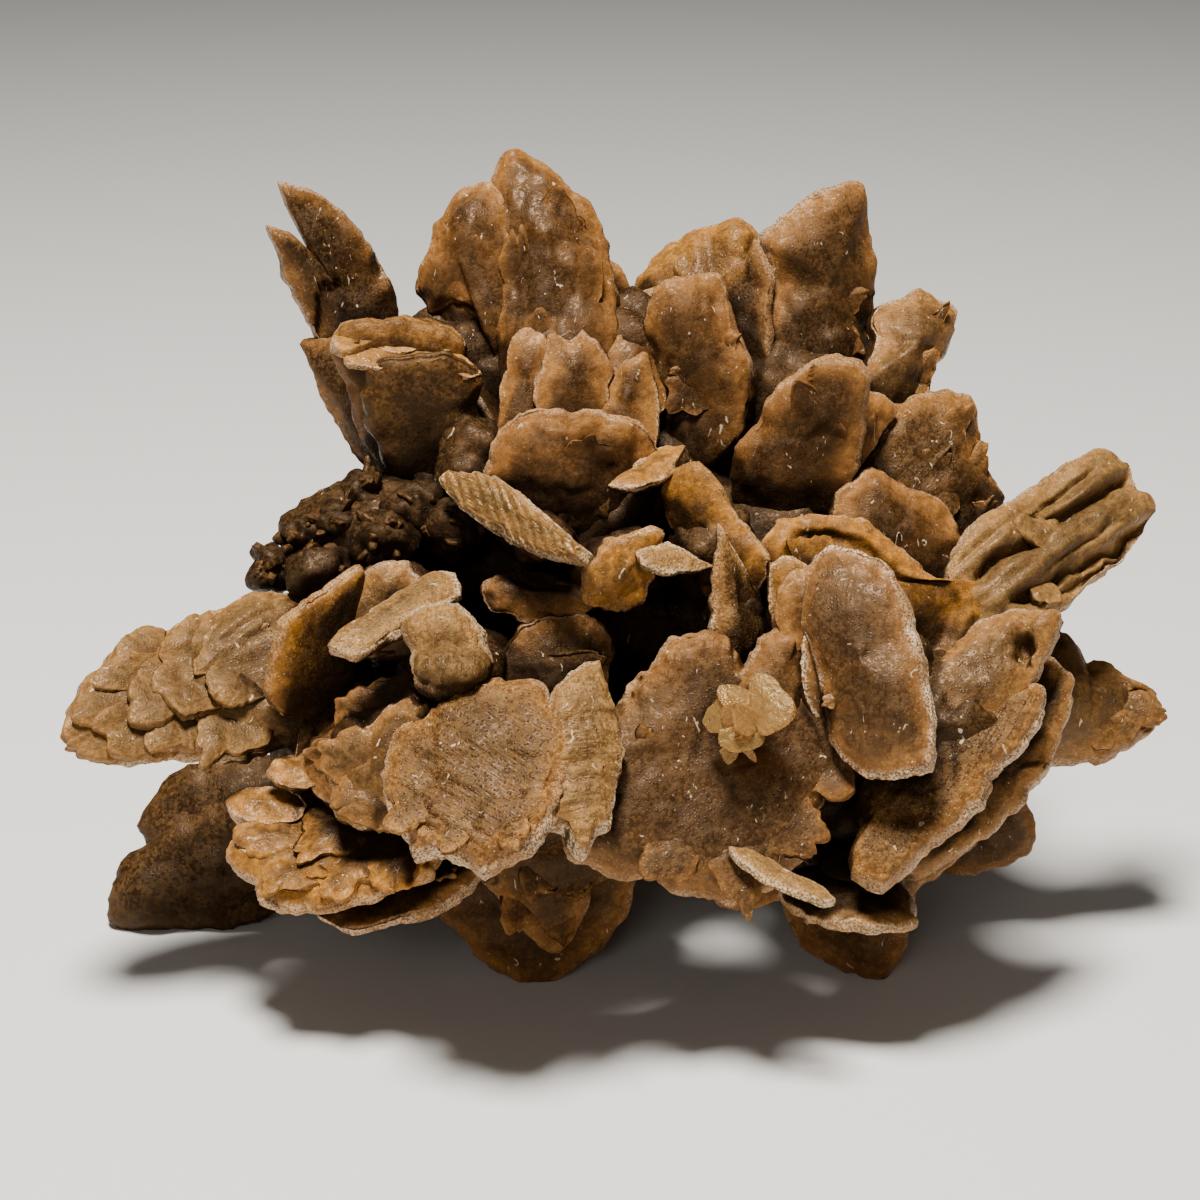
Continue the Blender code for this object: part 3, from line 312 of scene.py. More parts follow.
        (-1.8, 5), (-0.7, 7.2), (1.2, 9.3), (2.8, 13.3), (3, 20), (-4, 27), (-14, 27), (-22, 20))),
    Blade("knobbly lobe", 2, 8, -8, 8.0, LENS, "feet", "dark", (
        (-19, 14.5), (-16, 11.5), (-14.2, 9.5), (-12.5, 7), (-10, 4.8), (-8, 4.9), (-5.5, 6.5),
        (-4.2, 9.5), (-3.5, 13.5), (0, 15), (1, 21), (-7, 26), (-16, 22))),
    Blade("low lobe", 6, 5, -10, 5.0, LENS, "feet", "dark", (
        (13.5, 12), (17.5, 9.7), (20, 10), (22, 11.2), (25, 12), (25, 22), (17, 28), (11, 22))),
    Blade("left foot high", -24, -5, -5, 8.0, LENS, "feet", "dark", (
        (-66.8, 22.5), (-64.8, 25.3), (-62.7, 28.7), (-60, 30.3), (-56, 31.2), (-50, 32), (-43, 30),
        (-40, 22), (-46, 15), (-58, 14), (-66, 19.5))),
    Blade("left foot", -22.5, -5, -5, 9.0, LENS, "feet", "dark", (
        (-66.2, 19.2), (-69, 17.3), (-70.2, 13), (-70.4, 9), (-68, 7.6), (-64, 7.9), (-58, 7.3),
        (-54, 7.2), (-50, 8.3), (-45, 11), (-38, 17), (-41, 25), (-50, 27), (-60, 24))),
    Blade("amber fan", 15, -12, 42, 5.5, PLATE, "left", "amber", (
        (-54.1, 17), (-53.3, 19.5), (-50, 21.5), (-46.5, 22.8), (-42.5, 24.6), (-36, 25), (-29, 23),
        (-24, 19), (-25, 14.5), (-30.5, 13.3), (-34, 11.5), (-37.5, 10.3), (-42, 9.4), (-46, 9.6),
        (-49.5, 11.3), (-50.3, 13.7), (-53.3, 15.6))),
    Blade("lower fan", 13, 0, 42, 3.5, PLATE, "left", "tan", (
        (-41.4, 9.3), (-39, 8), (-36.5, 7), (-33, 7.4), (-29, 8.5), (-25.5, 9.2), (-22.5, 10.8),
        (-20, 12.7), (-18, 16), (-24, 19), (-33, 19), (-40, 14))),
    Blade("left tongue", 10, -10, 35, 3.5, LENS, "left", "amber", (
        (-54.3, 24.3), (-53.5, 25.8), (-51, 27), (-48, 27.3), (-45, 26.5), (-43, 24.5), (-45, 22.5),
        (-50, 21.5), (-53, 22.5))),
    Blade("twin back", 12, -22, 18, 6.0, LENS, "left", "tan", (
        (-43.5, 28.5), (-42.5, 32), (-40.5, 35.3), (-38, 37.3), (-35.3, 40), (-32.5, 42), (-29.5, 43.5),
        (-25, 43), (-22, 37), (-26, 28), (-34, 23), (-41, 25.5))),
    Blade("twin front", 19, -12, 10, 6.5, LENS, "left", "tan", (
        (-39.9, 28), (-38.6, 30.5), (-37, 33), (-35, 35), (-31, 38.7), (-28, 40.2), (-24, 38), (-23, 29),
        (-28, 23), (-32.5, 21.5), (-36, 21.2), (-38.7, 22.8), (-39.9, 25.5))),
    Blade("sliver", 7, 50, 0, 1.8, PLATE, "left", "tan", (
        (-45, 30.5), (-43.5, 30.5), (-41, 35), (-39.3, 39.5), (-40, 42), (-42, 41), (-43.5, 36))),
    Blade("amber lip", 11, 0, 42, 2.5, PLATE, "left", "amber", (
        (-48.6, 29), (-47, 27.5), (-43, 27), (-39, 28), (-38, 31), (-43, 32.5), (-47.5, 31))),
)

# The little rosette of clear crystals that grew on the speckled plate.
CLEAR_CRYSTALS = (
    Blade("clear disc", 31.5, -18, 18, 2.0, LENS, "clear", "clear", (
        (18.9, 42.3), (20, 43.1), (21.3, 43.1), (22.5, 42.7), (23.5, 41.5), (24.5, 40.5), (25.2, 39.5),
        (25.4, 38), (25, 36.9), (24, 35.9), (22.5, 35), (21.5, 34.6), (20.5, 34.8), (19.5, 37),
        (18.8, 40))),
    Blade("clear lower disc", 32, 5, 10, 1.6, LENS, "clear", "clear", (
        (14.8, 35.3), (14.7, 34), (15, 33.2), (16, 32.5), (17.5, 32.1), (19, 32.4), (20.5, 33), (21, 34),
        (20.8, 35), (18, 35.8))),
    Blade("clear left", 30, -35, 10, 1.6, LENS, "clear", "clear", (
        (12.5, 36.5), (13.2, 38.2), (14.5, 39.5), (16, 40.6), (17, 39), (16.5, 36.5), (15, 35),
        (13.3, 35.2))),
    Blade("clear upper", 30, 15, 35, 1.5, LENS, "clear", "clear", (
        (14.4, 40.3), (14.7, 41.5), (16, 41.6), (18, 41), (20, 40), (20.5, 38.2), (18, 37.6),
        (15.5, 38.4))),
    Blade("clear middle", 31.5, -5, -12, 1.8, LENS, "clear", "clear", (
        (15.2, 38.5), (17, 39.3), (19.2, 38.8), (20.4, 37.2), (19.6, 35.6), (17.4, 34.9), (15.6, 35.6),
        (14.9, 37))),
    Blade("clear cross", 32, 40, 25, 1.3, LENS, "clear", "clear", (
        (16.5, 38), (18, 38.6), (19.8, 37.4), (20.2, 35.6), (18.8, 34.6), (17, 35.4))),
    Blade("clear point left", 30, -20, -10, 1.2, LENS, "clear", "clear", (
        (14.8, 32.4), (15.4, 31.2), (16, 30.4), (16.9, 31.2), (17.4, 32.4), (16.2, 33.4))),
    Blade("clear point right", 30, 20, -10, 1.2, LENS, "clear", "clear", (
        (17.8, 32.4), (18.8, 31.4), (19.8, 30.8), (19.7, 31.8), (19.2, 32.8), (18.2, 33.2))),
)

# u, v: place on the drawing plane. near: mm towards the eye. size: half extents in mm to the right, up
# and towards the eye.
Lump = namedtuple("Lump", "name u v near size look", defaults=("soil",))

# The rounded crystals of the sandy matrix on the left.
PEBBLES = (
    Lump("pebble knob", -47.3, 57.8, -6, (3.4, 3.4, 4), "matrix"),
    Lump("pebble smooth", -41, 57.5, -3, (5, 3.6, 5), "matrix"),
    Lump("pebble edge", -43, 62.2, -8, (3.2, 3.2, 4), "matrix"),
    Lump("pebble top", -38.5, 64.5, -7, (3.5, 3.4, 4), "matrix"),
    Lump("pebble spike", -35, 68, -9, (3.2, 3.5, 4), "matrix"),
    Lump("pebble low", -32, 61.5, -2, (4.8, 4.2, 5), "matrix"),
    Lump("pebble high", -28, 66, -5, (4.5, 4, 5), "matrix"),
    Lump("pebble right", -22, 63, -3, (4.5, 5, 5), "matrix"),
    Lump("pebble on block", -23.2, 44, 24, (4.3, 3.6, 4.5), "pale"),
)

# The warm heart of the rosette, which shows through its clear crystals.
HEART = Lump("heart", 17.4, 37, 26.5, (2.4, 2.2, 2.4), "amber")

# The places behind the blades where they grow together.
ROOTS = (
    Lump("matrix", -32, 62, -13, (15, 9, 10)),
    Lump("under wedge", -20, 72, -6, (5, 7, 6)),
    Lump("behind fan", -16, 33, 20, (10, 8, 10)),
    Lump("behind speckled plate", 12, 30, 14, (11, 10, 9)),
    Lump("behind front blade", 36, 42, 14, (8, 10, 13)),
    Lump("behind diagonal", 46, 36, 12, (9, 9, 11)),
    Lump("behind block", -22, 43, 4, (8, 7, 15)),
    Lump("behind glinting lobe", -31, 52, -2, (9, 7, 11)),
    Lump("behind scaled blade", -31, 36, -6, (10, 8, 13)),
    Lump("behind amber fan", -38, 22, 0, (9, 7, 12.5)),
    Lump("behind twins", -32, 31, 8, (8, 9, 13)),
    Lump("behind centre disc", -4, 66, -6, (13, 10, 10)),
    Lump("behind dark tongue", -8, 54, 0, (7, 4, 8)),
    Lump("behind curved plate", 1, 58, 4, (7, 5, 9)),
    Lump("behind striped plate", -10, 62, 5, (5, 3.5, 9)),
    Lump("behind leaf high", 13, 61, 1, (6, 7, 8)),
    Lump("behind leaf low", 17, 51, 5, (4, 6, 8)),
    Lump("behind saucer", 34, 15, 8, (6, 5, 8)),
)

# The middle where the blades have grown together: centre and half extents in mm along X, Y and Z.
MIDDLE = (
    ((2, 26, 50), (30, 18, 26)),
    ((-16, 22, 52), (22, 14, 18)),
    ((26, 15, 50), (18, 15, 18)),
    ((2, 30, 76), (22, 10, 14)),
    ((-20, 30, 76), (16, 9, 12)),
    ((28, 28, 70), (14, 10, 14)),
    ((-4, 9, 28), (24, 13, 12)),
    ((-6, -9, 29), (17, 14, 8)),
    ((30, -4, 36), (13, 12, 12)),
    ((44, 10, 33), (18, 10, 10)),
    ((36, -8, 25), (10, 11, 9)),
    ((-34, 8, 26), (14, 12, 10)),
    ((-36, 2, 16), (14, 9, 6)),
)

# The blades that the eye doesn't see, which grow out of the middle at the back and below.
# around: degrees about +Z from +X. up: degrees above level. reach: how far the tip is from GROWTH_CENTRE.
# spin: degrees about the blade's own length, 0 for a blade that stands upright.
Grown = namedtuple("Grown", "around up reach length width spin thick")

GROWTH_CENTRE = np.array([0.0, 12.0, 52.0])

GROWN = (
    Grown(28, 8, 50, 36, 30, 35, 6),
    Grown(50, -4, 54, 38, 32, 70, 6),
    Grown(70, 14, 50, 34, 30, -20, 7),
    Grown(92, 0, 46, 32, 34, 55, 6),
    Grown(112, 12, 50, 34, 28, 15, 6),
    Grown(132, -2, 52, 38, 32, -60, 6),
    Grown(152, 4, 49, 34, 24, 72, 6),
    Grown(36, 40, 50, 32, 24, 55, 6),
    Grown(66, 46, 50, 32, 28, 60, 6),
    Grown(98, 40, 52, 34, 30, -10, 7),
    Grown(128, 42, 50, 32, 26, 50, 6),
    Grown(40, -52, 65.5, 40, 28, 10, 7),
    Grown(72, -30, 56, 34, 30, 75, 6),
    Grown(104, -40, 60, 36, 30, -25, 8),
    Grown(138, -52, 65.5, 47, 28, 20, 7),
    Grown(165, -22, 52, 32, 26, 65, 6),
    Grown(8, -26, 50, 32, 26, -60, 6),
)

# Scales of younger growth that lie on a blade's face, where the photograph shows them one by one.
# angle: degrees that the free tip points to, from the right. lift: how far the tip stands proud, in mm.
Scale = namedtuple("Scale", "host u v length width angle lift")

SCALES = (
    Scale("scaled blade", -71, 34.5, 12, 9, 205, 0.9),
    Scale("scaled blade", -69.5, 39, 13, 10, 212, 1.1),
    Scale("scaled blade", -65, 35.5, 13, 10, 205, 1.1),
    Scale("scaled blade", -66, 43, 12, 8, 212, 1.2),
    Scale("scaled blade", -63, 39.5, 12, 9, 225, 1.5),
    Scale("scaled blade", -60, 35.5, 13, 10, 220, 1.4),
    Scale("scaled blade", -60, 44, 12, 8, 222, 1.5),
    Scale("scaled blade", -57.5, 40, 12, 9, 235, 1.7),
    Scale("scaled blade", -54.5, 35.5, 13, 10, 240, 1.7),
    Scale("scaled blade", -54.5, 45, 12, 8, 218, 1.6),
    Scale("scaled blade", -51.5, 41, 12, 10, 235, 2.0),
    Scale("twin back", -34, 36.5, 11, 8, 150, 1.0),
    Scale("twin back", -38, 31, 10, 7, 175, 1.0),
    Scale("twin front", -35, 30, 11, 8, 160, 1.0),
    Scale("twin front", -33.5, 25.5, 11, 8, 200, 1.0),
    Scale("amber fan", -30, 16, 12, 8, 262, 0.9),
    Scale("amber fan", -37, 14.5, 12, 8, 245, 0.9),
    Scale("amber fan", -43.5, 15, 12, 8, 222, 0.9),
    Scale("amber fan", -46.5, 19, 11, 7, 198, 0.9),
    Scale("amber fan", -39, 20, 12, 9, 228, 1.0),
    Scale("speckled plate", 24, 22, 12, 9, 320, 1.1),
    Scale("speckled plate", 17, 16, 12, 8, 280, 1.2),
    Scale("speckled plate", 8, 18, 11, 8, 255, 1.1),
    Scale("speckled plate", 29, 30, 9, 7, 330, 1.0),
    Scale("fan left", -27, 24, 11, 6, 235, 1.4),
    Scale("fan left", -22, 21, 10, 6, 255, 1.4),
    Scale("fan left", -14, 21, 9, 6, 285, 1.4),
    Scale("right ridge", 43, 90, 9, 5, 60, 1.8),
    Scale("right ridge", 41, 84, 9, 5, 50, 1.8),
    Scale("tan blade", 46, 76, 10, 4.5, 55, 2.1),
    Scale("tan blade", 49, 71, 10, 4.5, 60, 2.1),
    Scale("tan blade", 43, 71, 10, 4.5, 50, 2.1),
    Scale("tan blade", 50, 64, 9, 4.5, 62, 2.0),
    Scale("right bump", 70, 38, 12, 6, 345, 2.2),
    Scale("right bump", 68, 42, 11, 4, 340, 2.2),
    Scale("knobbly lobe", -13, 11, 7, 5.5, 250, 1.8),
    Scale("knobbly lobe", -8, 9, 6.5, 5, 275, 1.8),
    Scale("knobbly lobe", -11, 16, 7, 6, 260, 1.8),
    Scale("knobbly lobe", -6, 14.5, 7, 5.5, 290, 1.8),
    Scale("crown", -8, 104, 11, 6, 80, 1.7),
    Scale("crown", -13, 98, 12, 6, 95, 1.7),
    Scale("crown", -5, 95, 12, 6, 80, 1.8),
    Scale("crown", -10, 88, 11, 7, 92, 1.7),
    Scale("crown left", -22, 102, 10, 5, 110, 1.5),
    Scale("crown left", -22, 94, 10, 5, 100, 1.5),
)

# The rest of the scales are strewn. STREWN is their number for each square mm of a blade's face.
STREWN = {"front": 0.004, "left": 0.010, "middle": 0.009, "right": 0.011, "crown": 0.010,
          "feet": 0.011, "striped": 0.0, "back": 0.008}
STREWN_LENGTHS = (4.0, 10.0)
STREWN_SLIMNESS = (0.55, 0.9)
STREWN_LIFTS = (0.8, 1.8)
# How far their tips swing from straight outwards, in degrees, and how far from the host's rim they stay,
# as a share of their length.
STREWN_SWING = 25.0
STREWN_MARGIN = 0.42
SCALE_THICKNESS = 1.7
# How far a scale's middle lies under the face that carries it, in mm.
SCALE_SUNK = 0.35
# A scale counts as further from the rim than it is, so that it doesn't all take a rim's painted glow: its
# own distance times SCALE_RIM, and HOST_RIM of its host's.
SCALE_RIM = 1.6
HOST_RIM = 0.35

# How many steps an icosahedron's edge is cut into, for each mm of the square root of the crystal's area.
FINENESS = {"front": 1.25, "left": 1.15, "middle": 1.2, "right": 1.0, "crown": 1.0, "feet": 0.8,
            "back": 0.6, "striped": 2.6, "clear": 1.5}
FEWEST_STEPS = 10
SCALE_FINENESS = 1.25
FEWEST_SCALE_STEPS = 5
RIM_SAMPLES = 900
SCALE_RIM_SAMPLES = 120
LUMP_STEPS = 10
MIDDLE_STEPS = 14

# The small crystals that stand out of each pebble of the matrix.
CLUSTER_COUNT = 9
CLUSTER_LENGTHS = (3.0, 5.5)
CLUSTER_SLIMNESS = 0.72
CLUSTER_STEPS = 6
# How far out they stand, as a share of the pebble's half extents, and how much more of them face the eye.
CLUSTER_REACH = 0.72
CLUSTER_TOWARDS_EYE = 0.8
# What a lump counts as its distance from a rim, in mm.
LUMP_RIM = 9.0

# One closed crystal. points: in mm. rim: each point's way to the rim in mm. place: where on the face each
# point is, in mm.
Shape = namedtuple("Shape", "name group look points faces rim place")


def unit(vector):
    return vector / np.linalg.norm(vector, axis=-1, keepdims=True)


def ease(low, high, value):
    """0 below low, 1 above high, and smooth between them."""
    part = np.clip((value - low) / (high - low), 0.0, 1.0)
    return part * part * (3 - 2 * part)


NOISE_SEED = 7
LATTICE = np.random.default_rng(NOISE_SEED).uniform(-1.0, 1.0, (64, 64, 64))


def read_grid(grid, points):
    """The grid's values at points given in cells, eased between them. It repeats beyond its ends."""
    cell = np.floor(points).astype(int)
    part = points - cell
    part = part * part * (3 - 2 * part)
    value = np.zeros(len(points))
    for corner in np.ndindex(2, 2, 2):
        i, j, k = ((cell + corner) % grid.shape).T
        weight = np.where(corner, part, 1 - part).prod(axis=1)
        value += grid[i, j, k] * weight
    return value


def noise(points):
    """Smooth noise between -1 and 1 that changes over about one unit, at rows of two or three numbers."""
    if points.shape[1] == 2:
        points = np.column_stack([points, np.zeros(len(points))])
    return read_grid(LATTICE, points)


# How much finer each octave of noise is than the one before, and how far it is moved off it.
OCTAVE_FINER = 2.03
OCTAVE_MOVED = 17.3


def fractal(points, octaves=3):
    """Noise of about one unit, with finer noise of half the height added for each further octave."""
    total = np.zeros(len(points))
    for octave in range(octaves):
        total += noise(points * OCTAVE_FINER ** octave + OCTAVE_MOVED * octave) * 0.5 ** octave
    return total


@functools.lru_cache(maxsize=None)
def ball(steps):
    """Points and triangles of an even unit ball: an icosahedron with each edge cut into steps."""
    builder = bmesh.new()
    bmesh.ops.create_icosphere(builder, subdivisions=1, radius=1.0)
    bmesh.ops.subdivide_edges(builder, edges=builder.edges[:], cuts=steps - 1, use_grid_fill=True)
    bmesh.ops.triangulate(builder, faces=builder.faces[:])
    points = unit(np.array([tuple(vertex.co) for vertex in builder.verts]))
    faces = np.array([[vertex.index for vertex in face.verts] for face in builder.faces])
    builder.free()
    return points, faces


def on_drawing_plane(uv):
    offset = np.atleast_2d(uv) - DRAWING_CENTRE
    return EYE_TARGET + offset[:, :1] * RIGHT + offset[:, 1:] * UPWARD


def towards_eye(point, near):
    return point + unit(EYE - point) * near


def facing(turn, lean):
    turn = math.radians(turn)
    lean = math.radians(lean)
    ahead = math.cos(lean)
    return RIGHT * math.sin(turn) * ahead + UPWARD * math.sin(lean) + TOWARDS_EYE * math.cos(turn) * ahead


def carried(uv, anchor, normal):
    """The points of the blade's plane that the eye sees at uv of the drawing plane."""
    rays = on_drawing_plane(uv) - EYE
    return EYE + rays * ((anchor - EYE) @ normal) / (rays @ normal)[:, None]


def closed_curve(corners, count):
    """A smooth closed curve through the corners, read at even steps of its length."""
    corners = np.array(corners, float)
    before = np.roll(corners, 1, axis=0)
    after = np.roll(corners, -1, axis=0)
    beyond = np.roll(corners, -2, axis=0)
    into, along, out = (np.linalg.norm(b - a, axis=1)[:, None] for a, b in
                        ((before, corners), (corners, after), (after, beyond)))
    start = ROUNDNESS * along * (after - before) / (into + along)
    end = ROUNDNESS * along * (beyond - corners) / (along + out)
    pieces = []
    for t in np.arange(0.0, 1.0, CURVE_STEP):
        pieces.append(
            (2 * t ** 3 - 3 * t ** 2 + 1) * corners
            + (t ** 3 - 2 * t ** 2 + t) * start
            + (3 * t ** 2 - 2 * t ** 3) * after
            + (t ** 3 - t ** 2) * end
        )
    curve = np.array(pieces).transpose(1, 0, 2).reshape(-1, 2)
    curve = np.vstack([curve, curve[:1]])
    length = np.concatenate([[0.0], np.cumsum(np.linalg.norm(np.diff(curve, axis=0), axis=1))])
    steps = np.linspace(0.0, length[-1], count, endpoint=False)
    return np.column_stack([np.interp(steps, length, column) for column in curve.T])


def around_rim(rim, share):
    """Reads the rows of a closed rim at shares of the way round it."""
    steps = np.arange(len(rim) + 1) / len(rim)
    closed = np.vstack([rim, rim[:1]])
    return np.column_stack([np.interp(share, steps, column) for column in closed.T])


def face_height(height, to_rim, thick, rise):
    """How far the face stands from the crystal's middle plane: a steep wall, then a slow swell."""
    wall = min(thick * RIM_SHARE, RIM_THICKNESS) / 2
    swell = (thick / 2 - wall) * (1 - np.exp(-to_rim / rise))
    return np.clip(height / WALL, -1.0, 1.0) * (wall + swell)


def lens_shape(name, group, look, rim, rim_place, centre, centre_place, normal, thick, rise, steps):
    """A ball pressed flat: its equator follows the rim, and its faces and edge carry the relief."""
    traits = LOOKS[look]
    turning = np.cross(rim - centre, np.roll(rim, -1, axis=0) - centre).sum(axis=0) @ normal
    if turning < 0:
        rim = rim[::-1]
        rim_place = rim_place[::-1]
    directions, faces = ball(steps)
    share = np.arctan2(directions[:, 1], directions[:, 0]) / math.tau % 1.0
    height = directions[:, 2]
    reach = np.sqrt(np.clip(1 - height ** 2, 0.0, 1.0))
    ray = around_rim(rim, share) - centre
    length = np.linalg.norm(ray, axis=1)
    outward = ray / length[:, None]
    side = np.sign(height)
    to_rim = (1 - reach) * length
    lift = face_height(height, to_rim, thick, rise)

    edge = rim_noise(centre + ray, lift, traits)
    near_rim = ease(5.0, 0.0, to_rim)
    points = centre + ray * reach[:, None] + outward * (edge * near_rim)[:, None] + normal * lift[:, None]
    place = centre_place + (around_rim(rim_place, share) - centre_place) * reach[:, None]
    off_edge = ease(0.0, 2 * WALL, np.abs(height))
    relief = face_noise(points, side, traits) + special_relief(name, place, to_rim, side)
    points = points + normal * (side * relief * off_edge)[:, None]
    return Shape(name, group, look, points, faces, to_rim, place)


# The sizes in mm of a rim's slow bends, of its teeth and of its leaves' steps, and a leaf's thickness.
RIM_BENDS = 3.3
RIM_TEETH = 1.5
RIM_STEPS = 3.0
LEAF_THICKNESS = 0.7


def rim_noise(points, lift, traits):
    """How far the rim wanders in and out, with each leaf of the crystal going its own way."""
    leaf = np.round(lift / LEAF_THICKNESS) * 7.7
    wander = fractal(points / RIM_BENDS, 2) * traits.ragged
    teeth = (0.35 - np.abs(fractal(points / RIM_TEETH + 5.0, 2))) * traits.ragged * 1.1
    steps = noise(points / RIM_STEPS + leaf[:, None]) * traits.layers
    return wander + teeth + steps


def creases(points, octaves=2):
    """Round bumps between sharp creases, about 0 on average."""
    return np.abs(fractal(points, octaves)) * 2 - 0.55


# The sizes in mm of a face's swells, bumps and grains.
FACE_SWELLS = 9.0
FACE_BUMPS = 5.5
FACE_GRAINS = 2.0


def face_noise(points, side, traits):
    """The relief that every face has, with each side of the crystal going its own way."""
    shifted = points + side[:, None] * 31.0
    bent = shifted + fractal(shifted / 6.0 + 9.0, 2)[:, None] * 1.5
    return (
        fractal(shifted / FACE_SWELLS, 2) * traits.wave
        + creases(bent / FACE_BUMPS) * traits.rough * 0.6
        + fractal(bent / FACE_GRAINS + 3.0) * traits.rough * 0.4
    )


def special_relief(name, place, to_rim, side):
    """The relief that one crystal alone has on the side that the eye sees."""
    make = RELIEFS.get(name)
    if make is None:
        return np.zeros(len(place))
    return make(place, to_rim) * (side > 0)


def ridges(place, angle, spacing, height, wander=0.6):
    """Ridges that run along angle, in degrees from the right, and wander a little."""
    angle = math.radians(angle)
    across = place @ np.array([-math.sin(angle), math.cos(angle)])
    along = place @ np.array([math.cos(angle), math.sin(angle)])
    bent = across + noise(place / 5.0) * wander
    wave = noise(np.column_stack([along / (spacing * 7), bent / spacing]))
    return np.abs(wave) * height


# How far a facet's middle may lie off its cell's, in cells, how steeply facets tilt and how round they
# are.
FACET_JITTER = 0.35
FACET_TILT = 1.3
FACET_DOME = 0.55


def facets(place, size, height, seed=0.0):
    """Low domes at all tilts, each of which meets its neighbours in a crease."""
    cell = np.floor(place / size)
    value = np.full(len(place), -9.0)
    for shift in np.ndindex(3, 3):
        corner = cell + np.array(shift) - 1
        jitter = np.column_stack([noise(corner * 0.91 + seed + 3.3), noise(corner * 0.91 + seed + 8.8)])
        tilt = np.column_stack([noise(corner * 0.77 + seed + 1.1), noise(corner * 0.77 + seed + 5.5)])
        offset = place / size - corner - 0.5 - jitter * FACET_JITTER
        slope = (offset * tilt).sum(axis=1) * FACET_TILT
        value = np.maximum(value, slope - (offset ** 2).sum(axis=1) * FACET_DOME)
    return value * height


def groove(place, start, end, width, depth):
    """A cut along the line from start to end that wanders a little and fades out at its ends."""
    start = np.array(start, float)
    along = np.array(end, float) - start
    length = np.linalg.norm(along)
    along = along / length
    offset = place - start
    travel = offset @ along
    apart = offset @ np.array([-along[1], along[0]]) + noise(place / 2.5) * 0.7
    faded = ease(-2.0, 2.0, travel) * ease(length + 2.0, length - 2.0, travel)
    below = ease(-width * 5, 0.0, apart) * ease(width, -width, apart)
    return -depth * faded * (np.exp(-(apart / width) ** 2) + 0.5 * below)


def scaled_relief(place, to_rim):
    return ridges(place, 215, 2.0, 0.5) + facets(place, 3.0, 0.3)


# The cuts in the wing: start, end, half width and depth, in mm.
WING_GROOVES = (
    ((50, 56), (71.5, 70.6), 0.8, 2.6),
    ((55, 52), (74.5, 63.8), 0.7, 2.4),
    ((56, 63), (67, 71.5), 0.5, 1.0),
    ((58, 55.5), (70, 63.5), 0.5, 1.0),
    ((60, 52.5), (72, 60.5), 0.5, 1.2),
)


def wing_relief(place, to_rim):
    cuts = sum(groove(place, *line) for line in WING_GROOVES)
    return cuts + ridges(place, 38, 2.2, 0.9) + facets(place, 4.0, 0.3)


ARC_DEPTH = 1.7


def arc_relief(place, to_rim):
    """A raised lip round a sunken middle."""
    sunken = ease(2.4, 5.0, to_rim) * ease(14.0, 7.0, to_rim)
    return -ARC_DEPTH * sunken + facets(place, 3.0, 0.4)


# The pit in the upper diagonal crystal, in mm.
PIT_CENTRE = (57.6, 45.8)
PIT_RADII = (1.5, 2.6)
PIT_DEPTH = 3.2


def high_relief(place, to_rim):
    """The diagonal crystal with its pit."""
    pit = np.linalg.norm((place - PIT_CENTRE) / PIT_RADII, axis=1)
    return diagonal_relief(place, to_rim) - PIT_DEPTH * ease(1.3, 0.5, pit + noise(place / 1.2) * 0.3)


def crown_relief(place, to_rim):
    return facets(place, 7.0, 1.7) + facets(place, 3.0, 0.45, 4.0) + ridges(place, 100, 5.0, 0.9, 1.6)


def petal_relief(place, to_rim):
    return facets(place, 7.0, 0.9) + facets(place, 2.6, 0.3, 4.0) + ridges(place, 95, 3.6, 0.5, 1.4)


# The leaves of the striped plate: their middle, the spacing along the plate and how high each one steps.
STRIPE_MIDDLE = (-20.0, 57.0)
STRIPE_SPACING = 1.9
STRIPE_HEIGHT = 0.9


def striped_relief(place, to_rim):
    """Curved leaves across the plate, each of which stands above the one before it."""
    along = (place - STRIPE_MIDDLE) @ np.array([0.86, -0.51])
    across = (place - STRIPE_MIDDLE) @ np.array([0.51, 0.86])
    leaf = (along + across ** 2 * 0.06 + noise(place / 4.0) * 0.5) / STRIPE_SPACING
    return (leaf - np.floor(leaf)) * STRIPE_HEIGHT * ease(0.2, 1.2, to_rim)


def fan_relief(place, to_rim):
    left = ease(-12, -22, place[:, 0])
    return ridges(place, 152, 1.1, 0.7, 0.3) * left + facets(place, 6.0, 0.7)


def fan_right_relief(place, to_rim):
    return ridges(place, 8, 1.0, 0.9, 0.5)


def plate_relief(place, to_rim):
    """Beads along the top rim, faint rings below it, and soft facets low down."""
    rings = noise(np.column_stack([to_rim / 2.6, np.arctan2(place[:, 1] - 28, place[:, 0] - 13) * 1.5]))
    beads = np.abs(noise(place / 1.3)) * ease(5.0, 1.0, to_rim) * ease(34, 42, place[:, 1])
    low = ease(36, 26, place[:, 1])
    soft = facets(place, 8.0, 1.0) * low + facets(place, 3.0, 0.2, 4.0)
    return np.abs(rings) * 0.25 + beads * 0.9 + soft


def front_relief(place, to_rim):
    return facets(place, 8.0, 0.9) + facets(place, 3.0, 0.2, 4.0) + ridges(place, 100, 4.5, 0.4, 1.5)


def diagonal_relief(place, to_rim):
    return facets(place, 6.0, 0.7) + facets(place, 2.6, 0.25, 4.0) + ridges(place, 62, 3.6, 0.6, 1.2)


def foot_relief(place, to_rim):
    return facets(place, 6.5, 1.6) + facets(place, 3.0, 0.5, 4.0)


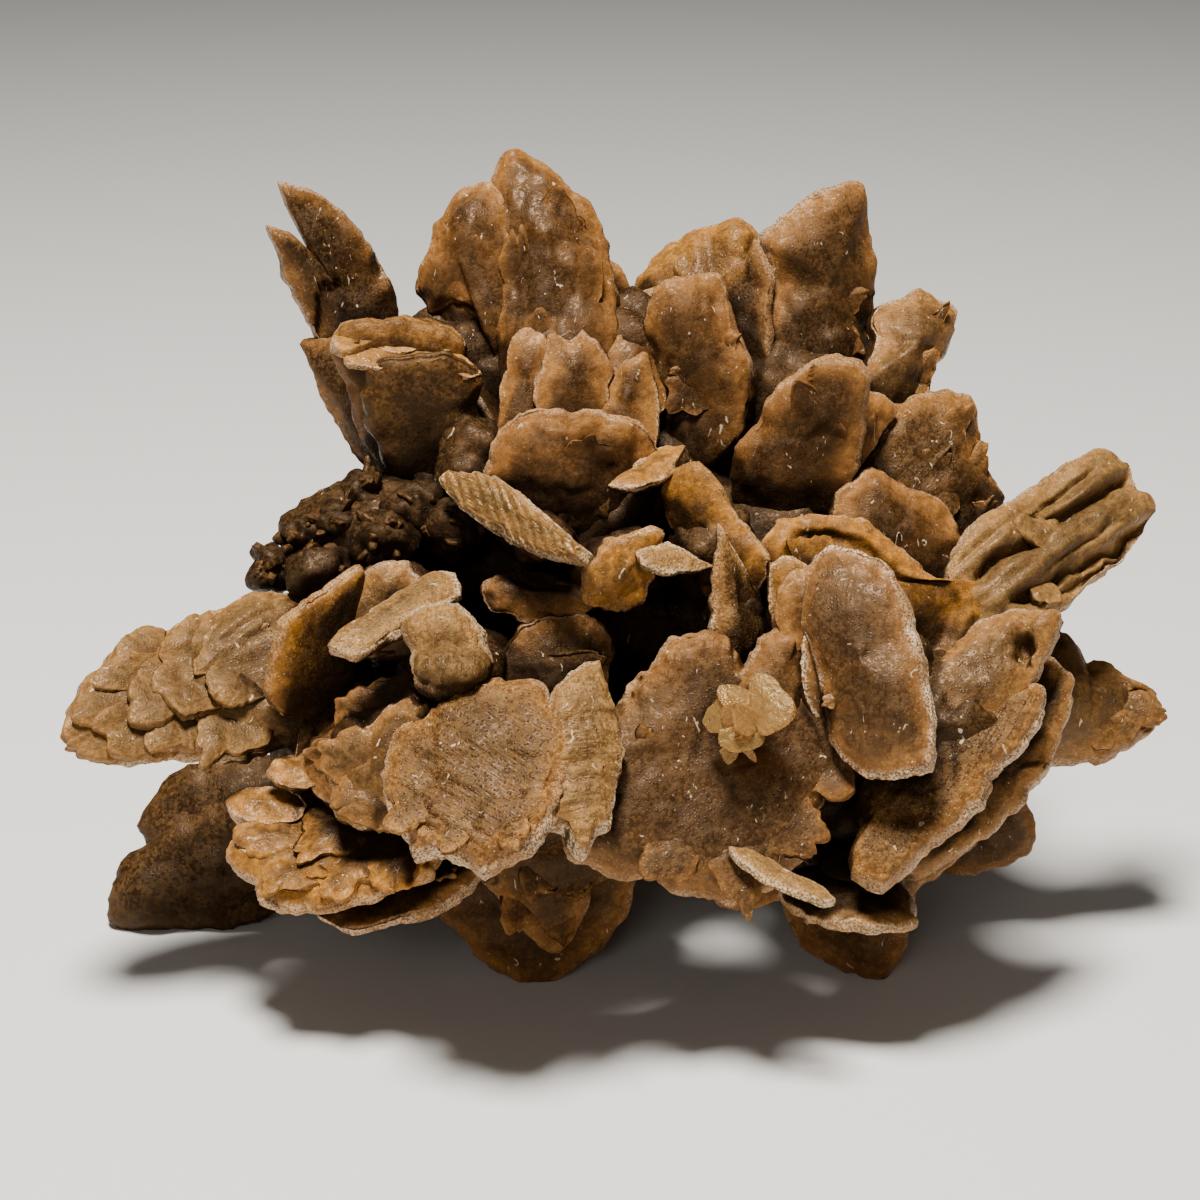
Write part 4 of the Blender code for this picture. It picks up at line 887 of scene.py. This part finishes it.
RELIEFS = {
    "scaled blade": scaled_relief,
    "wing": wing_relief,
    "arc blade": arc_relief,
    "striped plate": striped_relief,
    "fan left": fan_relief,
    "fan right": fan_right_relief,
    "speckled plate": plate_relief,
    "front blade": front_relief,
    "diagonal high": high_relief,
}
for relief, hosts in (
    (crown_relief, ("crown", "crown left", "left horn", "back ridge", "right ridge", "right bump")),
    (petal_relief, ("spire", "middle petal", "lower petal", "centre disc", "brown blade", "plate lobe",
                    "twin back", "twin front", "glinting lobe")),
    (diagonal_relief, ("diagonal low", "diagonal back", "tan blade")),
    (foot_relief, ("knobbly lobe", "pale block", "centre foot", "left foot", "left foot high",
                   "right foot")),
):
    RELIEFS.update(dict.fromkeys(hosts, relief))


def steps_for(area, group):
    return max(FEWEST_STEPS, round(FINENESS[group] * math.sqrt(area)))


def outline_area(outline):
    outline = np.array(outline)
    after = np.roll(outline, -1, axis=0)
    return abs((outline[:, 0] * after[:, 1] - outline[:, 1] * after[:, 0]).sum()) / 2


def blade_plane(blade):
    """The middle of the blade's outline, a point on its plane and the plane's normal."""
    middle = np.mean(blade.outline, axis=0)
    anchor = towards_eye(on_drawing_plane(middle)[0], blade.near)
    return middle, anchor, facing(blade.turn, blade.lean)


def drawn_shape(blade):
    middle, anchor, normal = blade_plane(blade)
    curve = closed_curve(blade.outline, RIM_SAMPLES)
    rim = carried(curve, anchor, normal)
    steps = steps_for(outline_area(blade.outline), blade.group)
    return lens_shape(blade.name, blade.group, blade.look, rim, curve, anchor, middle, normal,
                      blade.thick, blade.rise, steps)


def rim_distance(curve, uv):
    return np.linalg.norm(curve - uv, axis=1).min()


def is_inside(curve, uv):
    """Whether a line to the right from uv crosses the closed curve an odd number of times."""
    after = np.roll(curve, -1, axis=0)
    spans = (curve[:, 1] > uv[1]) != (after[:, 1] > uv[1])
    rise = np.where(spans, after[:, 1] - curve[:, 1], 1.0)
    crossing = curve[:, 0] + (uv[1] - curve[:, 1]) * (after[:, 0] - curve[:, 0]) / rise
    return (spans & (crossing > uv[0])).sum() % 2 == 1


def scale_outline(length, width, seed):
    """How far a small crystal's rim lies ahead of and beside its middle: a leaf with a few corners."""
    turn = np.linspace(0.0, math.tau, SCALE_RIM_SAMPLES, endpoint=False)
    circle = np.column_stack([np.cos(turn), np.sin(turn)])
    uneven = 1 + creases(circle * 1.3 + seed * 3.7, 1) * 0.22 + noise(circle * 0.9 + seed * 5.1) * 0.2
    forward = circle[:, 0] * length / 2
    sideways = circle[:, 1] * np.abs(circle[:, 1]) ** 0.25 * width / 2 * (1 - 0.25 * circle[:, 0])
    return forward * uneven, sideways * uneven


def scale_on(face, scale, look):
    """A small crystal that lies on a face, with its root sunk into it and its tip standing proud."""
    uv = np.array([scale.u, scale.v], float)
    angle = math.radians(scale.angle)
    heading = np.array([math.cos(angle), math.sin(angle)])
    foot, ahead = face.place_on(np.array([uv, uv + heading * 0.1]))
    along = unit(ahead - foot)
    host_rim = rim_distance(face.curve, uv)
    wall = min(face.thick * RIM_SHARE, RIM_THICKNESS) / 2
    surface = wall + (face.thick / 2 - wall) * (1 - math.exp(-host_rim / face.rise))
    tilt = math.atan2(scale.lift, scale.length / 2)
    tilted = along * math.cos(tilt) + face.normal * math.sin(tilt)
    normal = face.normal * math.cos(tilt) - along * math.sin(tilt)
    across = np.cross(normal, tilted)
    centre = foot + face.normal * (surface - SCALE_SUNK)
    forward, sideways = scale_outline(scale.length, scale.width, scale.u + scale.v)
    rim = centre + forward[:, None] * tilted + sideways[:, None] * across
    place = uv + forward[:, None] * heading + sideways[:, None] * np.array([-heading[1], heading[0]])
    steps = round(SCALE_FINENESS * FINENESS[face.group] * math.sqrt(scale.length * scale.width))
    shape = lens_shape(f"{scale.host} scale", face.group, look, rim, place, centre, uv, normal,
                       SCALE_THICKNESS, PLATE, max(FEWEST_SCALE_STEPS, steps))
    return shape._replace(rim=shape.rim * SCALE_RIM + host_rim * HOST_RIM)


# A flat face that scales can lie on. place_on carries rows of (u, v) to points on its plane.
Face = namedtuple("Face", "name group look curve normal thick rise place_on")


def blade_face(blade):
    _, anchor, normal = blade_plane(blade)
    curve = closed_curve(blade.outline, RIM_SAMPLES)
    return Face(blade.name, blade.group, blade.look, curve, normal, blade.thick, blade.rise,
                lambda uv: carried(uv, anchor, normal))


def strewn_scales(face, dice):
    """Scales at random places of a face, whose tips point away from its middle."""
    middle = face.curve.mean(axis=0)
    count = round(outline_area(face.curve) * STREWN[face.group])
    low = face.curve.min(axis=0)
    high = face.curve.max(axis=0)
    scales_made = []
    for _ in range(count):
        length = dice.uniform(*STREWN_LENGTHS)
        width = length * dice.uniform(*STREWN_SLIMNESS)
        uv = dice.uniform(low, high)
        swing = dice.normal(0.0, STREWN_SWING)
        lift = dice.uniform(*STREWN_LIFTS)
        if not is_inside(face.curve, uv) or rim_distance(face.curve, uv) < length * STREWN_MARGIN:
            continue
        angle = math.degrees(math.atan2(uv[1] - middle[1], uv[0] - middle[0])) + swing
        scales_made.append(Scale(face.name, uv[0], uv[1], length, width, angle, lift))
    return scales_made


def grown_shape(index, grown):
    around = math.radians(grown.around)
    up = math.radians(grown.up)
    spin = math.radians(grown.spin)
    along = np.array([math.cos(around) * math.cos(up), math.sin(around) * math.cos(up), math.sin(up)])
    level = np.array([-math.sin(around), math.cos(around), 0.0])
    upright = np.cross(along, level)
    across = upright * math.cos(spin) + level * math.sin(spin)
    centre = GROWTH_CENTRE + along * (grown.reach - grown.length / 2)
    angle = np.linspace(0.0, math.tau, RIM_SAMPLES, endpoint=False)
    place = np.column_stack([
        np.cos(angle) * grown.length / 2,
        np.sin(angle) * grown.width / 2 * (1 - 0.22 * np.cos(angle)),
    ])
    rim = centre + place[:, :1] * along + place[:, 1:] * across
    steps = steps_for(grown.length * grown.width * math.pi / 4, "back")
    look = ("waxy", "tan", "grey", "sandy")[index % 4]
    normal = np.cross(along, across)
    shape = lens_shape(f"grown {index}", "back", look, rim, place, centre, np.zeros(2), normal,
                       grown.thick, LENS, steps)
    faces = [Face(f"grown {index}", "back", look, place, normal * side, grown.thick, LENS,
                  lambda uv: centre + uv[:, :1] * along + uv[:, 1:] * across) for side in (1, -1)]
    return shape, faces


def lump_shape(name, look, centre, axes, steps=LUMP_STEPS):
    """A lump of sandy matrix, of small crystals that have grown into one another."""
    directions, faces = ball(steps)
    points = centre + directions @ np.array(axes)
    rough = fractal(points / 2.6, 3) * 0.6 + creases(points / 5.0, 2) * 0.8
    points = points + directions @ unit(np.array(axes)) * rough[:, None]
    return Shape(name, "matrix", look, points, faces, np.full(len(points), LUMP_RIM), points[:, ::2])


def placed_lump(lump):
    centre = towards_eye(on_drawing_plane((lump.u, lump.v))[0], lump.near)
    right, up, near = lump.size
    return lump_shape(lump.name, lump.look, centre, (RIGHT * right, -TOWARDS_EYE * near, UPWARD * up))


def cluster(pebble, dice):
    """Small crystals that stand out of a pebble of the matrix at all angles."""
    middle = towards_eye(on_drawing_plane((pebble.u, pebble.v))[0], pebble.near)
    right, up, near = pebble.size
    shapes = []
    for _ in range(CLUSTER_COUNT):
        out = unit(dice.normal(size=3) + TOWARDS_EYE * CLUSTER_TOWARDS_EYE)
        length = dice.uniform(*CLUSTER_LENGTHS)
        across = unit(np.cross(out, dice.normal(size=3)))
        normal = np.cross(out, across)
        sideways_out, up_out, near_out = (out @ axis for axis in (RIGHT, UPWARD, TOWARDS_EYE))
        spread = RIGHT * sideways_out * right + UPWARD * up_out * up + TOWARDS_EYE * near_out * near
        centre = middle + spread * CLUSTER_REACH
        forward, sideways = scale_outline(length, length * CLUSTER_SLIMNESS, length)
        rim = centre + forward[:, None] * out + sideways[:, None] * across
        place = np.column_stack([forward, sideways])
        shapes.append(lens_shape(pebble.name, "matrix", pebble.look, rim, place, centre, np.zeros(2),
                                 normal, SCALE_THICKNESS, PLATE, CLUSTER_STEPS))
    return shapes


SCALE_SEED = 11


def all_shapes():
    dice = np.random.default_rng(SCALE_SEED)
    shapes = []
    faces = []
    for blade in BLADES:
        shapes.append(drawn_shape(blade))
        faces.append(blade_face(blade))
    for index, grown in enumerate(GROWN):
        shape, sides = grown_shape(index, grown)
        shapes.append(shape)
        faces += sides
    named = {face.name: face for face in faces}
    for scale in SCALES:
        shapes.append(scale_on(named[scale.host], scale, named[scale.host].look))
    for face in faces:
        for scale in strewn_scales(face, dice):
            shapes.append(scale_on(face, scale, face.look))
    for pebble in PEBBLES:
        shapes.append(placed_lump(pebble))
        if pebble.look == "matrix":
            shapes += cluster(pebble, dice)
    shapes += [placed_lump(root) for root in ROOTS]
    for index, (centre, half) in enumerate(MIDDLE):
        shapes.append(lump_shape(f"middle {index}", "soil", np.array(centre), np.diag(half),
                                 MIDDLE_STEPS))
    shapes += [drawn_shape(blade) for blade in CLEAR_CRYSTALS]
    shapes.append(placed_lump(HEART))
    return shapes


# How full of crystals the space is that lies CROWD_AHEAD mm in front of a point, measured in cells of
# VOXEL mm that are blurred over CROWD_REACH cells each way.
VOXEL = 1.6
CROWD_REACH = 2
CROWD_AHEAD = (4.5, 8.0, 12.0)
# The blurred share of full cells that counts as open, and the share that counts as the depth of a cleft.
CROWD_OPEN = 0.12
CROWD_FULL = 0.34


def point_normals(shape):
    corners = shape.points[shape.faces]
    across = np.cross(corners[:, 1] - corners[:, 0], corners[:, 2] - corners[:, 0])
    total = np.zeros_like(shape.points)
    for corner in range(3):
        np.add.at(total, shape.faces[:, corner], across)
    return unit(total + 1e-12)


# The material paints shade from this.
def crowding(shapes):
    """How deep in a cleft each point lies, from 0 in the open to 1."""
    everything = np.vstack([shape.points for shape in shapes])
    normals = np.vstack([point_normals(shape) for shape in shapes])
    margin = CROWD_AHEAD[-1] + VOXEL * (CROWD_REACH * 3 + 1)
    low = everything.min(axis=0) - margin
    size = np.ceil((everything.max(axis=0) + margin - low) / VOXEL).astype(int)
    grid = np.zeros(size)
    grid[tuple(np.floor((everything - low) / VOXEL).astype(int).T)] = 1.0
    for _ in range(2):
        for axis in range(3):
            grid = sum(np.roll(grid, shift, axis) for shift in range(-CROWD_REACH, CROWD_REACH + 1))
            grid = grid / (2 * CROWD_REACH + 1)
    ahead = [(everything + normals * distance - low) / VOXEL - 0.5 for distance in CROWD_AHEAD]
    found = sum(read_grid(grid, points) for points in ahead) / len(CROWD_AHEAD)
    splits = np.cumsum([len(shape.points) for shape in shapes])[:-1]
    return np.split(np.clip((found - CROWD_OPEN) / (CROWD_FULL - CROWD_OPEN), 0.0, 1.0), splits)


def along_striae(shape):
    """The place on the face, turned so that its first number runs along the striae."""
    angle = math.radians(STRIAE.get(shape.name.removesuffix(" scale"), UPRIGHT))
    along = np.array([math.cos(angle), math.sin(angle)])
    across = np.array([-math.sin(angle), math.cos(angle)])
    return np.column_stack([shape.place @ along, shape.place @ across])


def mesh_piece(name, shapes, crowds, material):
    """One mesh of several crystals, with what the material reads kept on its points."""
    points = np.vstack([shape.points for shape in shapes]) + CENTRING
    points[:, 2] = np.maximum(points[:, 2], 0.0)
    starts = np.cumsum([0] + [len(shape.points) for shape in shapes])
    faces = np.vstack([shape.faces + start for shape, start in zip(shapes, starts)])
    mesh = bpy.data.meshes.new(name)
    mesh.from_pydata((points * MM).tolist(), [], faces.tolist())
    mesh.polygons.foreach_set("use_smooth", np.ones(len(faces), bool))
    looks = []
    rims = []
    places = []
    shines = []
    for shape, crowd in zip(shapes, crowds):
        traits = LOOKS[shape.look]
        count = len(shape.points)
        tone = traits.tone + TONES.get(shape.name.removesuffix(" scale"), 0.0)
        looks.append(np.tile((tone, traits.warmth, traits.sand), (count, 1)))
        # The third number, how deep in a cleft the point lies, becomes painted shade in the material.
        rims.append(np.column_stack([shape.rim, np.full(count, traits.frost), crowd]))
        places.append(np.column_stack([along_striae(shape), np.full(count, hash_of(shape.name))]))
        shines.append(np.tile((traits.striae, traits.gloss, 0.0), (count, 1)))
    for label, rows in (("look", looks), ("rim", rims), ("place", places), ("shine", shines)):
        attribute = mesh.attributes.new(label, "FLOAT_VECTOR", "POINT")
        attribute.data.foreach_set("vector", np.vstack(rows).astype(np.float32).ravel())
    mesh.materials.append(material)
    mesh.update()
    piece = bpy.data.objects.new(name, mesh)
    bpy.context.scene.collection.objects.link(piece)
    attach(piece, ROOT_BODY)
    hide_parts(ROSE_NODE)


def hash_of(name):
    """A number of its own for each crystal's name, the same in every run."""
    return sum(ord(letter) * (place + 3) for place, letter in enumerate(name)) % 97


class Tree:
    """Short ways to make and join a material's nodes. Each way gives back the socket that it made."""

    def __init__(self, name):
        self.material = bpy.data.materials.new(name)
        self.material.use_nodes = True
        self.tree = self.material.node_tree
        self.shader = self.tree.nodes["Principled BSDF"]

    def put(self, value, socket):
        if isinstance(value, bpy.types.NodeSocket):
            self.tree.links.new(value, socket)
        else:
            socket.default_value = value

    def node(self, kind, settings=None, **inputs):
        made = self.tree.nodes.new(kind)
        for name, value in (settings or {}).items():
            setattr(made, name, value)
        for name, value in inputs.items():
            self.put(value, made.inputs[name.replace("_", " ")])
        return made

    def millimetres(self):
        """The place on the piece, in mm."""
        return self.stretched(self.node("ShaderNodeTexCoord").outputs["Object"], (1 / MM,) * 3)

    def attribute(self, name):
        return self.node("ShaderNodeAttribute", {"attribute_name": name}).outputs["Vector"]

    def split(self, vector):
        return self.node("ShaderNodeSeparateXYZ", Vector=vector).outputs

    def math(self, operation, first, second=0.0, clamp=False):
        made = self.tree.nodes.new("ShaderNodeMath")
        made.operation = operation
        made.use_clamp = clamp
        self.put(first, made.inputs[0])
        self.put(second, made.inputs[1])
        return made.outputs[0]

    def between(self, value, low, high, start=0.0, end=1.0):
        """value's way from low to high, eased, as a number from start to end."""
        made = self.node("ShaderNodeMapRange", {"interpolation_type": "SMOOTHSTEP"}, Value=value)
        for name, number in (("From Min", low), ("From Max", high), ("To Min", start), ("To Max", end)):
            made.inputs[name].default_value = number
        return made.outputs["Result"]

    def mix(self, factor, first, second, blend="MIX"):
        made = self.tree.nodes.new("ShaderNodeMix")
        made.data_type = "RGBA"
        made.blend_type = blend
        self.put(factor, made.inputs[0])
        self.put(first, made.inputs[6])
        self.put(second, made.inputs[7])
        return made.outputs[2]

    def noise(self, vector, scale, detail=3.0, distortion=0.0):
        return self.node("ShaderNodeTexNoise", Vector=vector, Scale=scale, Detail=detail,
                         Distortion=distortion).outputs["Fac"]

    def stretched(self, vector, scale, turn=0.0):
        return self.node("ShaderNodeMapping", Vector=vector, Scale=scale,
                         Rotation=(0.0, 0.0, turn)).outputs["Vector"]


HONEY = (0.18, 0.074, 0.0175, 1.0)
BROWN = (0.033, 0.0128, 0.0032, 1.0)
AMBER = (0.29, 0.11, 0.0085, 1.0)
COOL = (0.066, 0.034, 0.0145, 1.0)
SHADE = (0.0065, 0.0026, 0.0008, 1.0)
TAN = (0.2, 0.108, 0.034, 1.0)
PALE_WEAR_AND_GLINT = (0.74, 0.59, 0.41, 1.0)
GRAIN_PALE = (0.3, 0.165, 0.05, 1.0)
GRAIN_DARK = (0.028, 0.01, 0.002, 1.0)
CLEAR = (0.85, 0.55, 0.2, 1.0)
CLEAR_DEEP = (0.9, 0.55, 0.15, 1.0)
# The colours that the reflections on the brown and the clear crystals take.
BROWN_SHEEN = (1.0, 0.66, 0.42, 1.0)
CLEAR_SHEEN = (1.0, 0.7, 0.35, 1.0)
GYPSUM_IOR = 1.52
# The share of the light that goes into a clear crystal, and how much each metre of it takes away.
CLEAR_TRANSMISSION = 0.86
CLEAR_DENSITY = 200.0


def gypsum_material():
    """Waxy brown gypsum full of sand: a painted honey glow at the thin rims, painted shade in the clefts,
    pale wear at the rims with a painted highlight, and painted glints.
    """
    t = Tree("gypsum crystal")
    millimetres = t.millimetres()
    tone, warmth, sand = t.split(t.attribute("look"))
    rim, frost, crowd = t.split(t.attribute("rim"))
    striae, gloss, _ = t.split(t.attribute("shine"))
    place = t.attribute("place")

    cloud = t.noise(millimetres, 0.13, 2.0, 0.6)
    patch = t.noise(millimetres, 0.45, 2.0)
    streak = t.noise(t.stretched(place, (0.16, 1.6, 1.0)), 1.0, 2.0, 0.3)
    grain = t.node("ShaderNodeTexVoronoi", Vector=millimetres, Scale=2.4)
    grain_shade = t.split(grain.outputs["Color"])[0]
    dust = t.noise(millimetres, 3.2, 1.0)

    # A painted glow of honey within a few mm of the rim, where the thin crystal would let light through,
    # and honey clouds at random elsewhere.
    uneven = t.between(cloud, 0.35, 0.7, -0.1, 0.35)
    glow = t.math("ADD", t.between(rim, 4.5, 0.2, 0.0, 0.95), uneven, True)
    colour = t.mix(glow, BROWN, HONEY)
    # Amber on warm crystals in patches, strongest near the rim: partly their own amber and partly a
    # painted glow where the thin rim lets light through.
    orange = t.math("MULTIPLY", t.between(warmth, 0.1, 1.0), t.between(patch, 0.35, 0.7, 0.35, 1.0))
    orange = t.math("MULTIPLY", orange, t.between(rim, 7.0, 0.5, 0.45, 1.0))
    colour = t.mix(orange, colour, AMBER)
    # Cool grey on cool crystals, less near the rim: partly their own grey and partly a painted sheen.
    cool = t.math("MULTIPLY", t.between(warmth, 0.15, -0.8), t.between(streak, 0.3, 0.7, 0.55, 1.0))
    colour = t.mix(t.math("MULTIPLY", cool, t.between(rim, 0.5, 4.0, 0.4, 1.0)), colour, COOL)
    # A high tone pales the face towards TAN and a low one darkens it towards SHADE, less at the rim so
    # that its painted glow stays: partly each crystal's own tone, partly painted light and painted shade.
    colour = t.mix(t.between(tone, 0.0, 1.0, 0.0, 0.9), colour, TAN)
    inside = t.math("MAXIMUM", t.between(rim, 0.2, 2.6, 0.45, 1.0), t.between(tone, -0.7, -0.85))
    dim = t.math("MULTIPLY", t.between(tone, 0.0, -1.0, 0.0, 0.92), inside)
    colour = t.mix(dim, colour, SHADE)
    lines = t.math("MULTIPLY", t.between(streak, 0.5, 0.75), t.math("MULTIPLY", striae, 0.7))
    colour = t.mix(lines, colour, TAN)

    gritty = t.math("MULTIPLY", sand, t.between(patch, 0.3, 0.6, 0.45, 0.9))
    grains = t.mix(t.between(grain_shade, 0.15, 0.9), GRAIN_DARK, GRAIN_PALE)
    colour = t.mix(t.math("MULTIPLY", gritty, 0.55), colour, grains)
    blotch = t.noise(millimetres, 0.9, 3.0, 0.8)
    mottle = t.between(dust, 0.25, 0.75, 0.9, 1.1)
    mottle = t.math("MULTIPLY", mottle, t.between(patch, 0.2, 0.8, 0.85, 1.15))
    mottle = t.math("MULTIPLY", mottle, t.between(blotch, 0.3, 0.7, 0.8, 1.2))
    # Paler near the rim and darker further in: painted light on the rims and painted shade inside them,
    # over the random mottle.
    mottle = t.math("MULTIPLY", mottle, t.between(rim, 1.5, 9.0, 1.3, 0.75))
    grey = t.node("ShaderNodeCombineXYZ", X=mottle, Y=mottle, Z=mottle).outputs[0]
    colour = t.mix(1.0, colour, grey, "MULTIPLY")

    # Painted shade: the deeper a point lies in a cleft, the more it turns to SHADE.
    deep = t.between(crowd, -0.1, 0.95, 0.0, 0.97)
    deep = t.math("MULTIPLY", deep, t.between(dust, 0.2, 0.8, 1.0, 0.88))
    colour = t.mix(deep, colour, SHADE)

    # Pale wear along the rims, which also stands in for a painted highlight on the lit rim edges.
    to_rim = t.math("DIVIDE", rim, t.math("ADD", frost, 0.5))
    worn = t.math("MULTIPLY", t.between(to_rim, 1.2, 0.05), t.between(dust, 0.4, 0.6))
    worn = t.math("MULTIPLY", worn, t.math("ADD", frost, 0.15))
    worn = t.math("MULTIPLY", worn, t.between(cloud, 0.4, 0.55, 0.3, 1.0))
    # Painted glints: elongated whitish flecks that are partly pale scratches, and sparse specks near the
    # rims where sand grains catch the light.
    scratches_and_painted_glints = t.between(t.noise(t.stretched(millimetres, (0.8, 0.8, 0.35)), 1.0, 3.0, 1.2), 0.68, 0.73)
    specks = t.node("ShaderNodeTexVoronoi", Vector=millimetres, Scale=4.5)
    bright = t.math("MULTIPLY", t.between(t.split(specks.outputs["Color"])[1], 0.93, 0.96),
                    t.between(specks.outputs["Distance"], 0.45, 0.25))
    painted_glints = t.math("MULTIPLY", bright, t.between(rim, 5.0, 0.5, 0.25, 0.9))
    # Wear and painted glints turn the face pale, but not in the clefts or on the darkest crystals.
    pale = t.math("MAXIMUM", t.math("MAXIMUM", worn, t.math("MULTIPLY", scratches_and_painted_glints, 0.6)),
                  t.math("MULTIPLY", painted_glints, t.math("ADD", sand, 0.2)))
    pale = t.math("MULTIPLY", pale, t.between(crowd, 0.8, 0.3))
    pale = t.math("MULTIPLY", pale, t.between(tone, -0.85, -0.65))
    colour = t.mix(pale, colour, PALE_WEAR_AND_GLINT)
    t.put(colour, t.shader.inputs["Base Color"])

    roughness = t.between(grain_shade, 0.1, 0.9, 0.45, 0.75)
    roughness = t.math("ADD", roughness, t.math("MULTIPLY", gloss, -0.3), True)
    t.put(roughness, t.shader.inputs["Roughness"])

    grit = t.math("MULTIPLY", t.between(grain.outputs["Distance"], 0.0, 0.5, 0.12, 0.0),
                  t.math("ADD", sand, 0.1))
    relief = t.math("ADD", grit, t.math("MULTIPLY", dust, 0.02))
    relief = t.math("ADD", relief, t.math("MULTIPLY", streak, t.math("MULTIPLY", striae, 0.6)))
    relief = t.math("ADD", relief, t.math("MULTIPLY", t.noise(millimetres, 1.0, 3.0), 0.09))
    bump = t.node("ShaderNodeBump", Height=relief, Distance=MM, Strength=0.8)
    t.put(bump.outputs["Normal"], t.shader.inputs["Normal"])

    t.shader.inputs["IOR"].default_value = GYPSUM_IOR
    t.shader.inputs["Specular IOR Level"].default_value = 0.3
    t.shader.inputs["Specular Tint"].default_value = BROWN_SHEEN
    return t.material


def clear_material():
    """Pale amber gypsum that light goes through."""
    t = Tree("clear crystal")
    millimetres = t.millimetres()
    cloud = t.noise(millimetres, 0.8, 4.0, 0.5)
    bump = t.node("ShaderNodeBump", Height=t.noise(millimetres, 1.6, 4.0), Distance=MM, Strength=0.35)
    t.put(bump.outputs["Normal"], t.shader.inputs["Normal"])
    t.put(t.between(cloud, 0.35, 0.65, 0.12, 0.4), t.shader.inputs["Roughness"])
    t.shader.inputs["Base Color"].default_value = CLEAR
    t.shader.inputs["Transmission Weight"].default_value = CLEAR_TRANSMISSION
    t.shader.inputs["Specular Tint"].default_value = CLEAR_SHEEN
    t.shader.inputs["IOR"].default_value = GYPSUM_IOR
    absorption = t.tree.nodes.new("ShaderNodeVolumeAbsorption")
    absorption.inputs["Color"].default_value = CLEAR_DEEP
    absorption.inputs["Density"].default_value = CLEAR_DENSITY
    output = t.tree.nodes["Material Output"]
    t.tree.links.new(absorption.outputs["Volume"], output.inputs["Volume"])
    return t.material


# The studio, in metres and watts.
FLOOR_HALF = 4.0
FLOOR_COLOUR = (0.74, 0.73, 0.71, 1.0)
LIT_POINT = (0.0, 0.0, 0.05)
DAYLIGHT = (1.0, 0.96, 0.9)
SKY_STRENGTH = 0.06


def floor_material():
    material = bpy.data.materials.new("floor")
    material.use_nodes = True
    shader = material.node_tree.nodes["Principled BSDF"]
    shader.inputs["Base Color"].default_value = FLOOR_COLOUR
    shader.inputs["Roughness"].default_value = 0.9
    shader.inputs["Specular IOR Level"].default_value = 0.1
    return material


def make_floor():
    mesh = bpy.data.meshes.new("floor")
    builder = bmesh.new()
    bmesh.ops.create_grid(builder, x_segments=1, y_segments=1, size=FLOOR_HALF)
    builder.to_mesh(mesh)
    builder.free()
    mesh.materials.append(floor_material())
    floor = bpy.data.objects.new("floor", mesh)
    bpy.context.scene.collection.objects.link(floor)


def direction_to_euler(back):
    """The turn of a light or camera that looks along -back with +Z upwards."""
    across, depth, height = back
    pitch = math.atan2(math.hypot(across, depth), height)
    return (pitch, 0.0, math.atan2(across, -depth))


def make_camera():
    data = bpy.data.cameras.new("camera")
    data.sensor_width = SENSOR
    data.lens = SENSOR * EYE_DISTANCE / FRAME_WIDTH
    data.clip_start = 0.01
    camera = bpy.data.objects.new("camera", data)
    bpy.context.scene.collection.objects.link(camera)
    camera.location = (EYE + CENTRING) * MM
    camera.rotation_euler = direction_to_euler(EYE - EYE_TARGET)
    bpy.context.scene.camera = camera


def make_light(name, place, size, power):
    data = bpy.data.lights.new(name, "AREA")
    data.shape = "DISK"
    data.size = size
    data.energy = power
    data.color = DAYLIGHT
    light = bpy.data.objects.new(name, data)
    bpy.context.scene.collection.objects.link(light)
    light.location = place
    light.rotation_euler = direction_to_euler(np.array(place) - LIT_POINT)


def make_lights():
    make_light("key light", place=(-0.08, -0.15, 0.79), size=0.22, power=16.5)
    make_light("front light", place=(-0.2, -0.8, 0.4), size=0.3, power=0.9)
    world = bpy.data.worlds.new("studio")
    world.use_nodes = True
    background = world.node_tree.nodes["Background"]
    background.inputs["Color"].default_value = (1.0, 1.0, 1.0, 1.0)
    background.inputs["Strength"].default_value = SKY_STRENGTH
    bpy.context.scene.world = world


def make_rose():
    shapes = all_shapes()
    crowds = crowding(shapes)
    gypsum = gypsum_material()
    clear = clear_material()
    groups = sorted({shape.group for shape in shapes})
    for group in groups:
        chosen = [pair for pair in zip(shapes, crowds) if pair[0].group == group]
        material = clear if group == "clear" else gypsum
        mesh_piece(f"{group}_crystals", *zip(*chosen), material)


make_floor()
make_camera()
make_lights()
make_rose()
